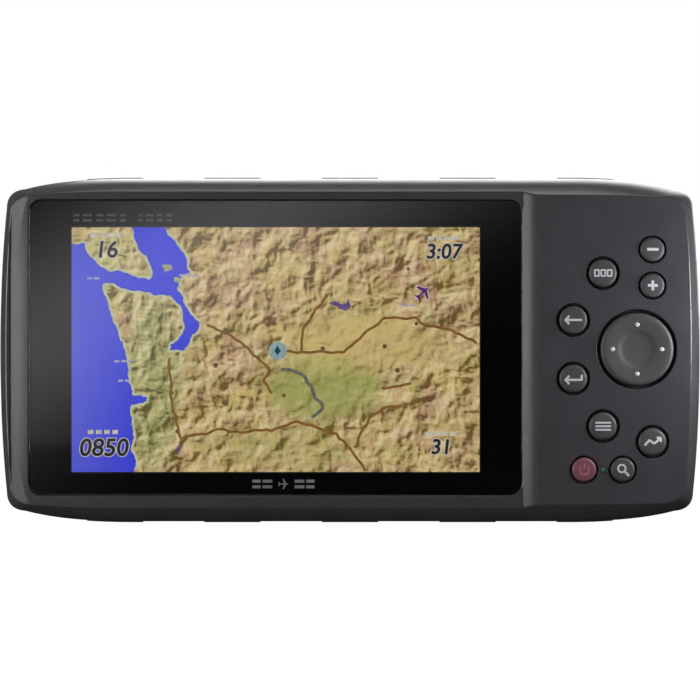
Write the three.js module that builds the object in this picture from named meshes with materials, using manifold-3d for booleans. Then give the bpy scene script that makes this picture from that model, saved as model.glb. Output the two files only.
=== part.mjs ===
// Portable aviation GPS receiver: a two-shell handheld, five-inch screen on the left and keypad on the right.
// Millimetres. +X runs to the right of the screen, +Y from the screen to the back, +Z up.
// The origin is under the middle of the case, on the plane of its bottom grip pads.
import * as THREE from "three";
import { mergeVertices } from "three/addons/utils/BufferGeometryUtils.js";
import Module from "manifold-3d";

const wasm = await Module();
wasm.setup();

// ---- Driving dimensions ----
const WIDTH = 190;
const HEIGHT = 94.4;
const DEPTH = 44;
const MID_Z = HEIGHT / 2;
const FRONT_Y = -DEPTH / 2; // tops of the keys
const BACK_Y = DEPTH / 2; // crown of the battery cover
const GAP = 0.3; // between neighbouring mouldings

const FACE_Y = FRONT_Y + 0.8; // front face around the screen and keys
const FACE_WALL = 2;
const SPLIT_Y = -6; // joint between the two shells
const WALL_AT_SPLIT = 4.6; // from the outside of the grip band to the inside of the shells
const SEAL = { outer: 2.5, inner: 3.4, groove: 0.2, depth: 0.5 }; // insets of the seal between the shells
const PAD_HEIGHT = 0.5; // grip pads stand this far out of the band
const PADS = { pitch: 32.2, w: 16, edge: 0.4 };
const GRIP_BACK_Y = 8.3;
const GRIP_SEAT = 1.9; // depth of the channel that holds the grip band
const REAR_Y = 14; // flat back of the rear shell
const REAR_INSIDE_Y = 11.4; // inside of that back
const HUMP_Y = 21.2; // rim of the battery hump

const SCREEN = { x: -19.9, z: 0.1, w: 109.2, h: 65.5 }; // active area, 5:3
const GLASS = { x0: -85.9, x1: 46.1, z0: -38.9, z1: 40.2, front: -19.8, back: -18.4, corner: 3.5 };
const BEZEL_Y = FACE_Y + 1.2; // the frame round the glass, lower than the keypad
const BEVEL_W = 4.6; // from the edge of the glass up to the keypad
const LEDGE_Y = -18.1; // ledge that the glass is bonded to
const PANEL = { w: 116.5, h: 72.5, front: -18.1, back: -13.9 };

const KEY = { big: 3.7, small: 3.2, bigHole: 4.5, smallHole: 3.75, travel: 0.6 };
const KEYS = [
  { name: "key_zoom_out", x: 80.6, z: 26.8, size: "small" },
  { name: "key_zoom_in", x: 80.6, z: 17.2, size: "small" },
  { name: "key_page", x: 67.4, z: 20.5, size: "big" },
  { name: "key_back", x: 59.5, z: 8, size: "big" },
  { name: "key_enter", x: 59.5, z: -7.6, size: "big" },
  { name: "key_menu", x: 67.4, z: -20.3, size: "big" },
  { name: "key_navigate", x: 80.6, z: -24.5, size: "big" },
  { name: "key_power", x: 62.4, z: -31.9, size: "small" },
  { name: "key_find", x: 72.7, z: -31.9, size: "small" },
];
const ROCKER = { x: 76.5, z: 0.2, r: 9.7, hole: 10.6, pivotY: -17, dots: 6.6 };
const LIGHT = { x: 67.5, z: -31.9, r: 0.8 };
const CABLE = 0.25; // thickness of the flat cables
const WEB = { front: -16.7, back: -16.1, plunger: -17.5 }; // silicone sheet behind the keys
const DOME_Y = -15.7; // front of the dome film
const KEYPAD_BOARD_Y = -15.3;

const BAY = { x0: -44.5, x1: 18.5, z: 27.5, floor: 2.4, wall: 1.5 }; // battery bay
const CONTACTS = [-19, -16.3, -13.6, -10.9]; // heights of the battery contacts
const HUMP = { x0: -70.5, x1: 44.5, z: 34 };
const COVER = { x: -13, w: 105.4, h: 61.4, inner: 19.3 };
const SHELF_Y = 18.3; // shelf that the battery cover sits on
const LATCH = {
  reach: 43, axisY: 20.2, disc: 6.2, shaft: 2.8,
  dish: 8.7, cup: 9.5, ringIn: 6.5, ringOut: 8.2,
};
const LATCH_SIDES = [
  { side: "left", x: COVER.x - LATCH.reach },
  { side: "right", x: COVER.x + LATCH.reach },
];
const PORT_BAY = { x0: 57, x1: 79, z0: 9, z1: 23, floor: 3, wall: 1.6 };
const FLAP = { x0: 55.4, x1: 82.4, z0: 6, z1: 26, hingeX: 54.1, y0: 14.2, y1: 15.8 };
const DOCK = { x: 68, z: -25, w: 26, h: 10 };
const VENT = { x: 68, z: -8, r: 1.1 };
const BOSSES = [
  [-86.2, 37.2], [-30, 41], [50, 41], [86.2, 37.2],
  [-86.2, -37.2], [-30, -41], [50, -41], [86.2, -37.2],
];
const SCREW = { shaft: 1.1, hole: 1.45, head: 2.2, boss: 2.8, tube: 3.6, seatY: 5, tipY: -13 };

// ---- Materials ----
const finish = (color, roughness, metalness = 0) =>
  new THREE.MeshStandardMaterial({ color, roughness, metalness });
const MATERIAL = {
  casePlastic: finish(0x35343a, 0.6),
  gripRubber: finish(0x2c2b2e, 0.85),
  glass: finish(0x08080a, 0.05),
  screen: finish(0xb9a86c, 0.3),
  keyRubber: finish(0x3a393c, 0.7),
  powerKey: finish(0x5c3a40, 0.7),
  silicone: finish(0x6f7276, 0.8),
  circuitBoard: finish(0x1d4a2c, 0.5),
  steel: finish(0xa5a8aa, 0.35, 1),
  darkSteel: finish(0x3c3d40, 0.4, 1),
  gold: finish(0xc9a24a, 0.3, 1),
  foam: finish(0x202022, 0.95),
  flex: finish(0x8a5a1e, 0.5),
  ceramic: finish(0xb9ab8f, 0.6),
  battery: finish(0x2f3136, 0.5),
  blackPlastic: finish(0x141416, 0.5),
  lightPipe: finish(0x9fb8a4, 0.2),
};

// ---- Solids ----

// A closed three.js geometry as a manifold-3d solid, with its faces pointing out.
function solid(geometry) {
  const open = geometry.index ? geometry.toNonIndexed() : geometry.clone();
  open.deleteAttribute("normal");
  open.deleteAttribute("uv");
  const merged = mergeVertices(open, 1e-4);
  const triVerts = new Uint32Array(merged.index.array);
  const vertProperties = merged.attributes.position.array;
  const make = () => new wasm.Manifold(new wasm.Mesh({ numProp: 3, vertProperties, triVerts }));
  const made = make();
  if (made.volume() > 0) return made;
  for (let i = 0; i < triVerts.length; i += 3) {
    [triVerts[i + 1], triVerts[i + 2]] = [triVerts[i + 2], triVerts[i + 1]];
  }
  return make();
}

// A solid as a three.js geometry.
function geometryOf(made) {
  const { vertProperties, triVerts, numProp } = made.getMesh();
  const count = vertProperties.length / numProp;
  const position = new Float32Array(count * 3);
  for (let i = 0; i < count; i++) position.set(vertProperties.subarray(i * numProp, i * numProp + 3), i * 3);
  const geometry = new THREE.BufferGeometry();
  geometry.setAttribute("position", new THREE.BufferAttribute(position, 3));
  geometry.setIndex(new THREE.BufferAttribute(new Uint32Array(triVerts), 1));
  geometry.computeVertexNormals();
  return geometry;
}

const union = (first, ...others) => others.reduce((sum, next) => sum.add(next), first);
const cut = (first, ...others) => others.reduce((rest, next) => rest.subtract(next), first);

function box(x0, x1, y0, y1, z0, z1) {
  const geometry = new THREE.BoxGeometry(x1 - x0, y1 - y0, z1 - z0);
  return solid(geometry.translate((x0 + x1) / 2, (y0 + y1) / 2, (z0 + z1) / 2));
}

// A cylinder along Y.
function rod(x, z, r, y0, y1, sides = 16) {
  return solid(new THREE.CylinderGeometry(r, r, y1 - y0, sides).translate(x, (y0 + y1) / 2, z));
}

// A cylinder along X.
function pinX(x0, x1, y, z, r, sides = 10) {
  const geometry = new THREE.CylinderGeometry(r, r, x1 - x0, sides).rotateZ(Math.PI / 2);
  return solid(geometry.translate((x0 + x1) / 2, y, z));
}

// A turned piece about Y, from its profile of [radius, y] pairs. A profile off the axis is closed on itself.
function turned(profile, sides = 20) {
  const outline = profile.map(([r, y]) => new THREE.Vector2(r, y));
  if (profile[0][0] > 0) outline.push(outline[0].clone());
  return solid(new THREE.LatheGeometry(outline, sides));
}

// A flat shape drawn in X and Z, extruded from y0 to y1.
function prism(shape, y0, y1, curveSegments = 4) {
  const geometry = new THREE.ExtrudeGeometry(shape, { depth: y1 - y0, bevelEnabled: false, curveSegments });
  return solid(geometry.rotateX(Math.PI / 2).translate(0, y1, 0));
}

const polygon = (points) => new THREE.Shape(points.map(([a, b]) => new THREE.Vector2(a, b)));

// A flat shape drawn in Y and Z, extruded from x0 to x1.
function prismAlongX(points, x0, x1) {
  const geometry = new THREE.ExtrudeGeometry(polygon(points), { depth: x1 - x0, bevelEnabled: false });
  return solid(geometry.rotateY(Math.PI / 2).rotateX(Math.PI / 2).translate(x0, 0, 0));
}

// A flat shape drawn in X and Y, extruded from z0 to z1.
function prismAlongZ(points, z0, z1) {
  const geometry = new THREE.ExtrudeGeometry(polygon(points), { depth: z1 - z0, bevelEnabled: false });
  return solid(geometry.translate(0, 0, z0));
}

function roundedRect(x0, x1, z0, z1, r) {
  const shape = new THREE.Shape();
  shape.moveTo(x0 + r, z0).lineTo(x1 - r, z0);
  shape.absarc(x1 - r, z0 + r, r, -Math.PI / 2, 0);
  shape.absarc(x1 - r, z1 - r, r, 0, Math.PI / 2);
  shape.absarc(x0 + r, z1 - r, r, Math.PI / 2, Math.PI);
  shape.absarc(x0 + r, z0 + r, r, Math.PI, Math.PI * 1.5);
  return shape;
}

// A solid through sections, each { y, points } with as many points in X and Z as the others.
function loft(sections) {
  const count = sections[0].points.length;
  const position = sections.flatMap(({ y, points }) => points.flatMap((p) => [p.x, y, p.y]));
  const index = [];
  for (let s = 0; s < sections.length - 1; s++) {
    for (let i = 0; i < count; i++) {
      const a = s * count + i;
      const b = s * count + ((i + 1) % count);
      index.push(a, b, a + count, b, b + count, a + count);
    }
  }
  const capFaces = THREE.ShapeUtils.triangulateShape(sections[0].points, []);
  const last = (sections.length - 1) * count;
  for (const [a, b, c] of capFaces) index.push(a, c, b, last + a, last + b, last + c);
  const geometry = new THREE.BufferGeometry();
  geometry.setAttribute("position", new THREE.Float32BufferAttribute(position, 3));
  geometry.setIndex(index);
  return solid(geometry);
}

// The case outline: straight in the middle of its top and bottom, falling by drop towards rounded corners,
// with sides that bulge a little. halfW and halfH are its greatest half width and half height.
function caseOutline({ halfW, halfH, drop, corner, bulge }, steps = 4) {
  const sideX = halfW - bulge;
  const cornerZ = halfH - drop;
  const shape = new THREE.Shape();
  const straight = halfW * 0.63;
  const shoulder = halfW * 0.82;
  shape.moveTo(straight, halfH);
  shape.lineTo(-straight, halfH);
  shape.quadraticCurveTo(-shoulder, halfH, -(sideX - corner), cornerZ);
  shape.quadraticCurveTo(-sideX, cornerZ - 0.4, -sideX, cornerZ - corner);
  shape.quadraticCurveTo(-halfW, cornerZ / 2, -halfW, 0);
  shape.quadraticCurveTo(-halfW, -cornerZ / 2, -sideX, -(cornerZ - corner));
  shape.quadraticCurveTo(-sideX, -(cornerZ - 0.4), -(sideX - corner), -cornerZ);
  shape.quadraticCurveTo(-shoulder, -halfH, -straight, -halfH);
  shape.lineTo(straight, -halfH);
  shape.quadraticCurveTo(shoulder, -halfH, sideX - corner, -cornerZ);
  shape.quadraticCurveTo(sideX, -(cornerZ - 0.4), sideX, -(cornerZ - corner));
  shape.quadraticCurveTo(halfW, -cornerZ / 2, halfW, 0);
  shape.quadraticCurveTo(halfW, cornerZ / 2, sideX, cornerZ - corner);
  shape.quadraticCurveTo(sideX, cornerZ - 0.4, sideX - corner, cornerZ);
  shape.quadraticCurveTo(shoulder, halfH, straight, halfH);
  const points = shape.getPoints(steps);
  if (points[0].distanceTo(points[points.length - 1]) < 1e-6) points.pop();
  return points;
}

// The widest outline of the case, drawn in by inset all round.
function fullOutline(inset) {
  return caseOutline({
    halfW: WIDTH / 2 - inset,
    halfH: MID_Z - PAD_HEIGHT - inset,
    drop: 2.9,
    corner: Math.max(5 - inset * 0.5, 2),
    bulge: 1.8,
  });
}

const shell = (...rows) => loft(rows.map(([y, inset]) => ({ y, points: fullOutline(inset) })));

// ---- The model ----
const device = new THREE.Group();
device.name = "portable_gps";
const atMiddle = new THREE.Group(); // everything is placed about the middle of the case's height
atMiddle.position.z = MID_Z;
device.add(atMiddle);

function add(name, made, material, x = 0, y = 0, z = 0) {
  const mesh = new THREE.Mesh(geometryOf(made), material);
  mesh.name = name;
  mesh.position.set(x, y, z);
  atMiddle.add(mesh);
}

const keyHole = (key) => (key.size === "big" ? KEY.bigHole : KEY.smallHole);

// The edge of the glass pocket, let out by grow all round.
const glassOutline = (grow) =>
  roundedRect(GLASS.x0 - grow, GLASS.x1 + grow, GLASS.z0 - grow, GLASS.z1 + grow, GLASS.corner + grow);

// A box round the display panel, let out by grow all round.
function panelBox(grow, y0, y1) {
  const halfW = PANEL.w / 2 + grow;
  const halfH = PANEL.h / 2 + grow;
  return box(SCREEN.x - halfW, SCREEN.x + halfW, y0, y1, SCREEN.z - halfH, SCREEN.z + halfH);
}

// Front shell: a dish with a pocket for the glass, a bevel up to the keypad, and a hole for each key.
function frontCase() {
  const rim = { halfW: 90.6, halfH: 41.6, drop: 0.5, corner: 6, bulge: 1.3 };
  const outer = loft([
    { y: FACE_Y, points: caseOutline(rim) },
    { y: -19.3, points: caseOutline({ ...rim, halfW: 92.4, halfH: 43.8, drop: 1.4 }) },
    { y: -15, points: caseOutline({ ...rim, halfW: 94, halfH: 45.6, drop: 2.3, bulge: 1.6 }) },
    { y: -10, points: fullOutline(0.3) },
    { y: SPLIT_Y, points: fullOutline(0) },
  ]);
  const inner = loft([
    { y: FACE_Y + FACE_WALL, points: caseOutline({ ...rim, halfW: 87.6, halfH: 38.9 }) },
    { y: -15, points: caseOutline({ ...rim, halfW: 89.8, halfH: 41.4, drop: 2.3 }) },
    { y: SPLIT_Y + 1, points: fullOutline(WALL_AT_SPLIT) },
  ]);
  const bosses = BOSSES.map(([x, z]) => rod(x, z, SCREW.boss, SCREW.tipY - 3, SPLIT_Y, 10));
  const bossHoles = BOSSES.map(([x, z]) => rod(x, z, SCREW.hole, SCREW.tipY - 0.6, SPLIT_Y + 1, 8));
  const surround = prism(glassOutline(1.2), FACE_Y + FACE_WALL - 0.3, LEDGE_Y + 1.5);
  const ends = box(-WIDTH, WIDTH, SPLIT_Y, BACK_Y, -MID_Z, MID_Z);
  const pocket = prism(glassOutline(0), FRONT_Y, LEDGE_Y);
  const window = panelBox(0.8, FRONT_Y, SPLIT_Y);
  // The frame round the glass is lower than the keypad. It falls away at its left edge, and a bevel joins it
  // to the keypad.
  const { x0, x1 } = GLASS;
  const lowered = prismAlongZ([
    [-WIDTH, FRONT_Y - 1], [x1 + BEVEL_W, FRONT_Y - 1], [x1 + BEVEL_W, FACE_Y], [x1 + 2.4, FACE_Y + 0.42],
    [x1 + 0.2, BEZEL_Y], [x0 - 0.4, BEZEL_Y], [x0 - 4.5, BEZEL_Y + 0.8], [x0 - 5.1, BEZEL_Y + 0.5],
    [-WIDTH, BEZEL_Y + 0.5],
  ], -MID_Z, MID_Z);
  const leftWall = outer.intersect(box(-92, -84, FACE_Y, FACE_Y + 3.4, -MID_Z, MID_Z));
  const keyHoles = KEYS.map((key) => rod(key.x, key.z, keyHole(key), FRONT_Y, FACE_Y + FACE_WALL + 1, 16));
  const rockerHole = rod(ROCKER.x, ROCKER.z, ROCKER.hole, FRONT_Y, FACE_Y + FACE_WALL + 1, 32);
  const lightHole = rod(LIGHT.x, LIGHT.z, LIGHT.r + 0.15, FRONT_Y, FACE_Y + FACE_WALL + 1, 10);
  const dish = union(cut(outer, inner), surround, leftWall, ...bosses);
  const groove = sealGroove(SPLIT_Y - SEAL.depth - SEAL.groove, SPLIT_Y + 1);
  return cut(dish, pocket, lowered, window, ...keyHoles, rockerHole, lightHole, ...bossHoles, groove, ends);
}

// A washer-like ring between two insets of the case outline.
function outlineRing(outerInset, innerInset, y0, y1) {
  const outer = shell([y0, outerInset], [y1, outerInset]);
  const inner = shell([y0 - 1, innerInset], [y1 + 1, innerInset]);
  return cut(outer, inner);
}

const sealGroove = (y0, y1) => outlineRing(SEAL.outer - SEAL.groove, SEAL.inner + SEAL.groove, y0, y1);

// Rubber band round the rear shell, with five raised pads along the top and five along the bottom.
function gripBand() {
  const y0 = SPLIT_Y + GAP;
  const y1 = GRIP_BACK_Y;
  const band = outlineRing(0, GRIP_SEAT - 0.2, y0, y1);
  const raised = outlineRing(-PAD_HEIGHT, 1, y0 + PADS.edge, y1 - PADS.edge);
  const columns = [-2, -1, 0, 1, 2].map((column) => {
    const x = column * PADS.pitch;
    return box(x - PADS.w / 2, x + PADS.w / 2, FRONT_Y, BACK_Y, -HEIGHT, HEIGHT);
  });
  return union(band, raised.intersect(union(...columns)));
}

const humpOutline = (grow) =>
  roundedRect(HUMP.x0 - grow, HUMP.x1 + grow, -HUMP.z - grow, HUMP.z + grow, 7).getPoints(4);

// A box round the docking contacts, let out by grow all round.
function dockBox(grow, y0, y1) {
  const halfW = DOCK.w / 2 + grow;
  const halfH = DOCK.h / 2 + grow;
  return box(DOCK.x - halfW, DOCK.x + halfW, y0, y1, DOCK.z - halfH, DOCK.z + halfH);
}

// Rear shell: the channel for the grip band, a flat back, the battery hump with its bay, and the port bay.
function rearCase() {
  const front = SPLIT_Y + GAP;
  const core = shell([front, GRIP_SEAT], [GRIP_BACK_Y + 1, GRIP_SEAT]);
  const back = shell([GRIP_BACK_Y + GAP, 0.4], [11, 2.2], [13, 5.6], [REAR_Y, 8.6]);
  const hump = loft([
    { y: REAR_Y - 1, points: humpOutline(3.4) },
    { y: HUMP_Y - 1, points: humpOutline(0) },
    { y: HUMP_Y, points: humpOutline(-1) },
  ]);
  const cavity = shell([front - 1, WALL_AT_SPLIT], [GRIP_BACK_Y, WALL_AT_SPLIT], [REAR_INSIDE_Y, 9]);
  const humpInside = roundedRect(HUMP.x0 + 1, HUMP.x1 - 1, -HUMP.z + 1, HUMP.z - 1, 5);
  const humpCavity = prism(humpInside, 8, SHELF_Y - 1.6);
  const bayTub = box(
    BAY.x0 - BAY.wall, BAY.x1 + BAY.wall, BAY.floor - 1.8, SHELF_Y - 1, -BAY.z - BAY.wall, BAY.z + BAY.wall,
  );
  const cardTub = box(-42, -6, -3.2, 1, -15, 15);
  const cardRecess = box(-40.4, -7.6, -1.6, 3, -13.4, 13.4);
  const bayPocket = box(BAY.x0, BAY.x1, BAY.floor, BACK_Y, -BAY.z, BAY.z);
  const contactSlot = box(3, 15, -2, 3, -22, -8);
  const seat = prism(coverShape(GAP), SHELF_Y, BACK_Y);
  const latchPosts = LATCH_SIDES.map(({ x }) => rod(x, 0, LATCH.cup + 1.6, 11.5, SHELF_Y, 16));
  const cupWells = LATCH_SIDES.map(({ x }) => rod(x, 0, LATCH.cup + 0.6, 16.9, BACK_Y, 20));
  const footWells = LATCH_SIDES.map(({ x }) => rod(x, 0, 5.9, 12.8, BACK_Y, 12));
  const portTub = box(
    PORT_BAY.x0 - PORT_BAY.wall, PORT_BAY.x1 + PORT_BAY.wall, PORT_BAY.floor - 1.6, 13,
    PORT_BAY.z0 - PORT_BAY.wall, PORT_BAY.z1 + PORT_BAY.wall,
  );
  const portShape = roundedRect(PORT_BAY.x0, PORT_BAY.x1, PORT_BAY.z0, PORT_BAY.z1, 2);
  const portPocket = prism(portShape, PORT_BAY.floor, BACK_Y);
  const usbSlot = box(60.4, 69.2, 0, 4, 13.2, 18.8);
  const jackHole = rod(74, 16, 3.1, 0, 4, 16);
  const dockSlot = dockBox(GAP, 8, BACK_Y);
  const ventHole = rod(VENT.x, VENT.z, VENT.r, 8, BACK_Y, 12);
  const tubes = BOSSES.map(([x, z]) => rod(x, z, SCREW.tube, front, 9, 8));
  const screwHoles = BOSSES.map(([x, z]) => rod(x, z, SCREW.hole, front - 1, SCREW.seatY + 1, 8));
  const headHoles = BOSSES.map(([x, z]) => rod(x, z, SCREW.head + 0.6, SCREW.seatY, BACK_Y, 12));
  const trimmed = shell([front, GRIP_SEAT], [BACK_Y, GRIP_SEAT]);
  const walls = cut(union(core, back, hump), cavity, humpCavity);
  const posts = union(bayTub, cardTub, ...latchPosts, portTub, ...tubes).intersect(trimmed);
  const groove = sealGroove(front - 1, front + SEAL.depth + SEAL.groove);
  const batteryCuts = [bayPocket, cardRecess, contactSlot, seat, ...cupWells, ...footWells];
  const otherCuts = [portPocket, usbSlot, jackHole, dockSlot, ventHole, ...screwHoles, ...headHoles, groove];
  return cut(union(walls, posts), ...batteryCuts, ...otherCuts);
}

// A domed cap with a flange that holds it behind the front wall. Its origin is the top of the dome.
function keyCap(radius, hole) {
  const flangeY = 3;
  const capEnd = 3.8;
  return turned([
    [0, 0],
    [radius * 0.6, 0.12],
    [radius - 0.45, 0.35],
    [radius, 0.85],
    [radius, flangeY],
    [hole + 0.5, flangeY],
    [hole + 0.5, capEnd],
    [0, capEnd],
  ]);
}

// Four-way rocker: a dished disc that leans on its pivot plate. Its origin is the pivot point.
function rockerCap() {
  const top = FRONT_Y - ROCKER.pivotY;
  return turned(
    [
      [0, top + 0.9],
      [4.5, top + 0.75],
      [ROCKER.r - 1.6, top + 0.05],
      [ROCKER.r - 0.7, top],
      [ROCKER.r, top + 0.7],
      [ROCKER.r, -1.5],
      [ROCKER.hole + 0.6, -1.5],
      [ROCKER.hole + 0.6, -0.9],
      [0, -0.9],
    ],
    32,
  );
}

// The four points of the rocker, at a distance from its middle.
const rockerPoints = (distance) =>
  [[0, 1], [1, 0], [0, -1], [-1, 0]].map(([dx, dz]) => [ROCKER.x + dx * distance, ROCKER.z + dz * distance]);

// Silicone sheet with a plunger under each key and one under each point of the rocker.
function keypadWeb() {
  const shape = polygon([[53.6, -36.6], [78, -36.6], [87.2, -28], [87.2, 31], [73, 32], [53.6, 27]]);
  const { front, back, plunger } = WEB;
  const plungers = KEYS.map((key) => rod(key.x, key.z, 2, plunger, back, 8));
  const rockerPlungers = rockerPoints(8.2).map(([x, z]) => rod(x, z, 1.4, plunger, back, 8));
  const pivotHole = rod(ROCKER.x, ROCKER.z, 6.2, plunger, WEB.back + 1, 20);
  const lightHole = rod(LIGHT.x, LIGHT.z, 1.4, plunger, WEB.back + 1, 10);
  return cut(union(prism(shape, front, back), ...plungers, ...rockerPlungers), pivotHole, lightHole);
}

// Film that carries the snap domes, one under each plunger.
function domeSheet() {
  const film = box(54, 87, DOME_Y, DOME_Y + 0.2, -28, 31.6);
  const foot = box(54, 77, DOME_Y, DOME_Y + 0.2, -36.4, -28);
  const dome = turned([[0, -0.2], [2, 0.1], [0, 0.1]], 8);
  const places = [...KEYS.map(({ x, z }) => [x, z]), ...rockerPoints(8.2)];
  return union(film, foot, ...places.map(([x, z]) => dome.translate([x, DOME_Y, z])));
}

function keypadBoard() {
  const shape = polygon([[53.4, -36.8], [78, -36.8], [87.6, -28], [87.6, 32], [53.4, 32.2]]);
  return prism(shape, KEYPAD_BOARD_Y, KEYPAD_BOARD_Y + 1);
}

// Metal tray behind the panel, with a stiffening edge and lightening holes.
function displayFrame() {
  const front = PANEL.back + GAP;
  const tray = cut(panelBox(0.4, front, front + 1.8), panelBox(-0.2, front + 0.6, front + 2));
  const hole = (dx) => rod(SCREEN.x + dx, SCREEN.z, 8, PANEL.back, front + 1, 16);
  return cut(tray, ...[-36, -12, 12, 36].map(hole));
}

// Flat cable from the foot of the panel round the edge of the main board.
function displayCable() {
  const path = [[-15.6, -36.5], [-15.6, -38], [-8.7, -38], [-8.7, -30]];
  const returnPath = [
    [-8.7 - CABLE, -30], [-8.7 - CABLE, -38 + CABLE], [-15.6 + CABLE, -38 + CABLE], [-15.6 + CABLE, -36.5],
  ];
  return prismAlongX([...path, ...returnPath], -27, -14);
}

// Flat cable from the back of the keypad board round the edge of the main board.
function keypadCable() {
  const path = [[60, -14.1], [49, -14.1], [49, -9.2], [40, -9.2]];
  const returnPath = [
    [40, -9.2 + CABLE], [49 + CABLE, -9.2 + CABLE], [49 + CABLE, -14.1 + CABLE], [60, -14.1 + CABLE],
  ];
  return prismAlongZ([...path, ...returnPath], -6, 6);
}

function mainBoard() {
  const board = prism(roundedRect(-81, 47.4, -35.2, 35.2, 2), -11, -9.5, 2);
  const notch = box(20, 34, -12, -9, 30, 36);
  return cut(board, notch);
}

function beeper() {
  return turned([[1.2, -9.2], [7, -9.2], [7, -5.4], [6.4, -5], [1.2, -5]], 20);
}

// Plug socket with a hollow mouth that opens backwards and a tongue in it.
function usbPort() {
  const body = box(60.9, 68.7, 0.4, 7.5, 14, 18);
  const mouth = box(61.5, 68.1, 2.5, 8, 14.5, 17.5);
  const tongue = box(62.6, 67, 2, 6.6, 15.7, 16.3);
  return union(cut(body, mouth), tongue);
}

// Coaxial socket with a centre pin.
function antennaJack() {
  const shellProfile = [[0, 0.4], [2.7, 0.4], [2.7, 4.6], [2.3, 4.6], [2.3, 7], [1.7, 7], [1.7, 2.6]];
  const pinProfile = [[0.35, 2.6], [0.35, 6], [0, 6]];
  return turned([...shellProfile, ...pinProfile], 16);
}

// Card socket in the floor of the battery bay, with its slot facing down.
function cardSocket(x) {
  const body = box(x - 7, x + 7, -1.3, 0.5, -2, 13);
  const slot = box(x - 5.6, x + 5.6, -0.8, 0, -3, 11);
  return cut(body, slot);
}

function batteryContactBlock() {
  const block = box(3.4, 14.6, -1.6, 2.1, -21.6, -8.4);
  return cut(block, ...CONTACTS.map((z) => box(4.4, 13.6, -2, 3, z - 0.8, z + 0.8)));
}

// Four contact blades on one carrier, standing through the block.
function batteryContacts() {
  const carrier = box(5, 13, -2.4, -1.9, -20, -10);
  return union(carrier, ...CONTACTS.map((z) => box(5, 13, -2.2, 2.6, z - 0.35, z + 0.35)));
}

function batteryPack() {
  const shape = roundedRect(BAY.x0 + 0.5, BAY.x1 - 0.5, -BAY.z + 0.5, BAY.z - 0.5, 2.5);
  const pack = prism(shape, BAY.floor + 0.5, 17.6);
  const thumbNotch = rod(BAY.x0, 0, 7, 13.5, 18, 20);
  return cut(pack, thumbNotch);
}

const coverShape = (grow) => {
  const halfW = COVER.w / 2 + grow;
  const halfH = COVER.h / 2 + grow;
  return roundedRect(COVER.x - halfW, COVER.x + halfW, -halfH, halfH, 4.7);
};

// Cover with a crowned back, a dish and a cup for each latch, and ribs for grip.
function batteryCover() {
  const section = (inset) => coverShape(-inset).getPoints(4);
  const plate = loft([
    { y: COVER.inner, points: section(0) },
    { y: BACK_Y - 1.1, points: section(0) },
    { y: BACK_Y - 0.3, points: section(1) },
    { y: BACK_Y, points: section(2.6) },
  ]);
  const cups = LATCH_SIDES.map(({ x }) => rod(x, 0, LATCH.cup, 17.2, COVER.inner + 1, 20));
  const dishes = LATCH_SIDES.map(({ x }) => rod(x, 0, LATCH.dish, 18.6, BACK_Y + 1, 24));
  const shafts = LATCH_SIDES.map(({ x }) => rod(x, 0, LATCH.shaft + 0.5, 16, BACK_Y, 12));
  const groove = (z) => box(COVER.x - 24, COVER.x + 24, BACK_Y - 0.7, BACK_Y + 1, z - 0.8, z + 0.8);
  const grooves = [-22, -18.5, -15, 15, 18.5, 22].map(groove);
  return cut(union(plate, ...cups), ...dishes, ...shafts, ...grooves);
}

function rectRing(x0, x1, z0, z1, width, y0, y1) {
  const outer = prism(roundedRect(x0, x1, z0, z1, 3), y0, y1);
  const inner = roundedRect(x0 + width, x1 - width, z0 + width, z1 - width, 3 - width / 2);
  return cut(outer, prism(inner, y0 - 1, y1 + 1));
}

// Quarter-turn stud: a disc that sits in the dish, a stem and a foot inside the case.
// Its origin is on the axis that the ring folds about.
function latchStud() {
  const { disc, shaft, axisY } = LATCH;
  const head = rod(0, 0, disc, -1, 1, 24);
  const stem = rod(0, 0, shaft, -5.6, -0.5, 16);
  const foot = box(-4.6, 4.6, 13.4 - axisY, 15.2 - axisY, -2, 2);
  const ringHoles = [pinX(4.4, disc + 1, 0, 0, 0.85), pinX(-disc - 1, -4.4, 0, 0, 0.85)];
  const coinSlot = box(-3.6, 3.6, 0.3, 2, -0.7, 0.7);
  return cut(union(head, stem, foot), ...ringHoles, coinSlot);
}

// Half ring that folds flat round the lower half of the disc, with a pin at each end.
function latchRing() {
  const { ringIn, ringOut } = LATCH;
  const half = 0.9;
  const shape = new THREE.Shape();
  shape.absarc(0, 0, ringOut, Math.PI, Math.PI * 2);
  shape.absarc(0, 0, ringIn, Math.PI * 2, Math.PI, true);
  const bow = prism(shape, -half, half, 10);
  const lugs = [pinX(ringIn, ringOut, 0, 0, half), pinX(-ringOut, -ringIn, 0, 0, half)];
  const pins = [pinX(4.9, ringIn + 0.4, 0, 0, 0.6, 8), pinX(-ringIn - 0.4, -4.9, 0, 0, 0.6, 8)];
  return union(bow, ...lugs, ...pins);
}

// Rubber flap over the ports, with a lip that plugs the port bay and a tab to pull it by.
function portCover() {
  const { x0, x1, z0, z1, y0, y1 } = FLAP;
  const plate = loft([
    { y: y0, points: roundedRect(x0, x1, z0, z1, 3).getPoints(4) },
    { y: y1 - 0.5, points: roundedRect(x0, x1, z0, z1, 3).getPoints(4) },
    { y: y1, points: roundedRect(x0 + 0.6, x1 - 0.6, z0 + 0.6, z1 - 0.6, 2.6).getPoints(4) },
  ]);
  const bay = PORT_BAY;
  const lip = rectRing(bay.x0 + 0.4, bay.x1 - 0.5, bay.z0 + 0.4, bay.z1 - 0.4, 1.2, 12, y0 + 0.5);
  const tab = box(x1 - 1, x1 + 2, y0, y1 - 0.4, 12, 20);
  return union(plate, lip, tab);
}

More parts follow.
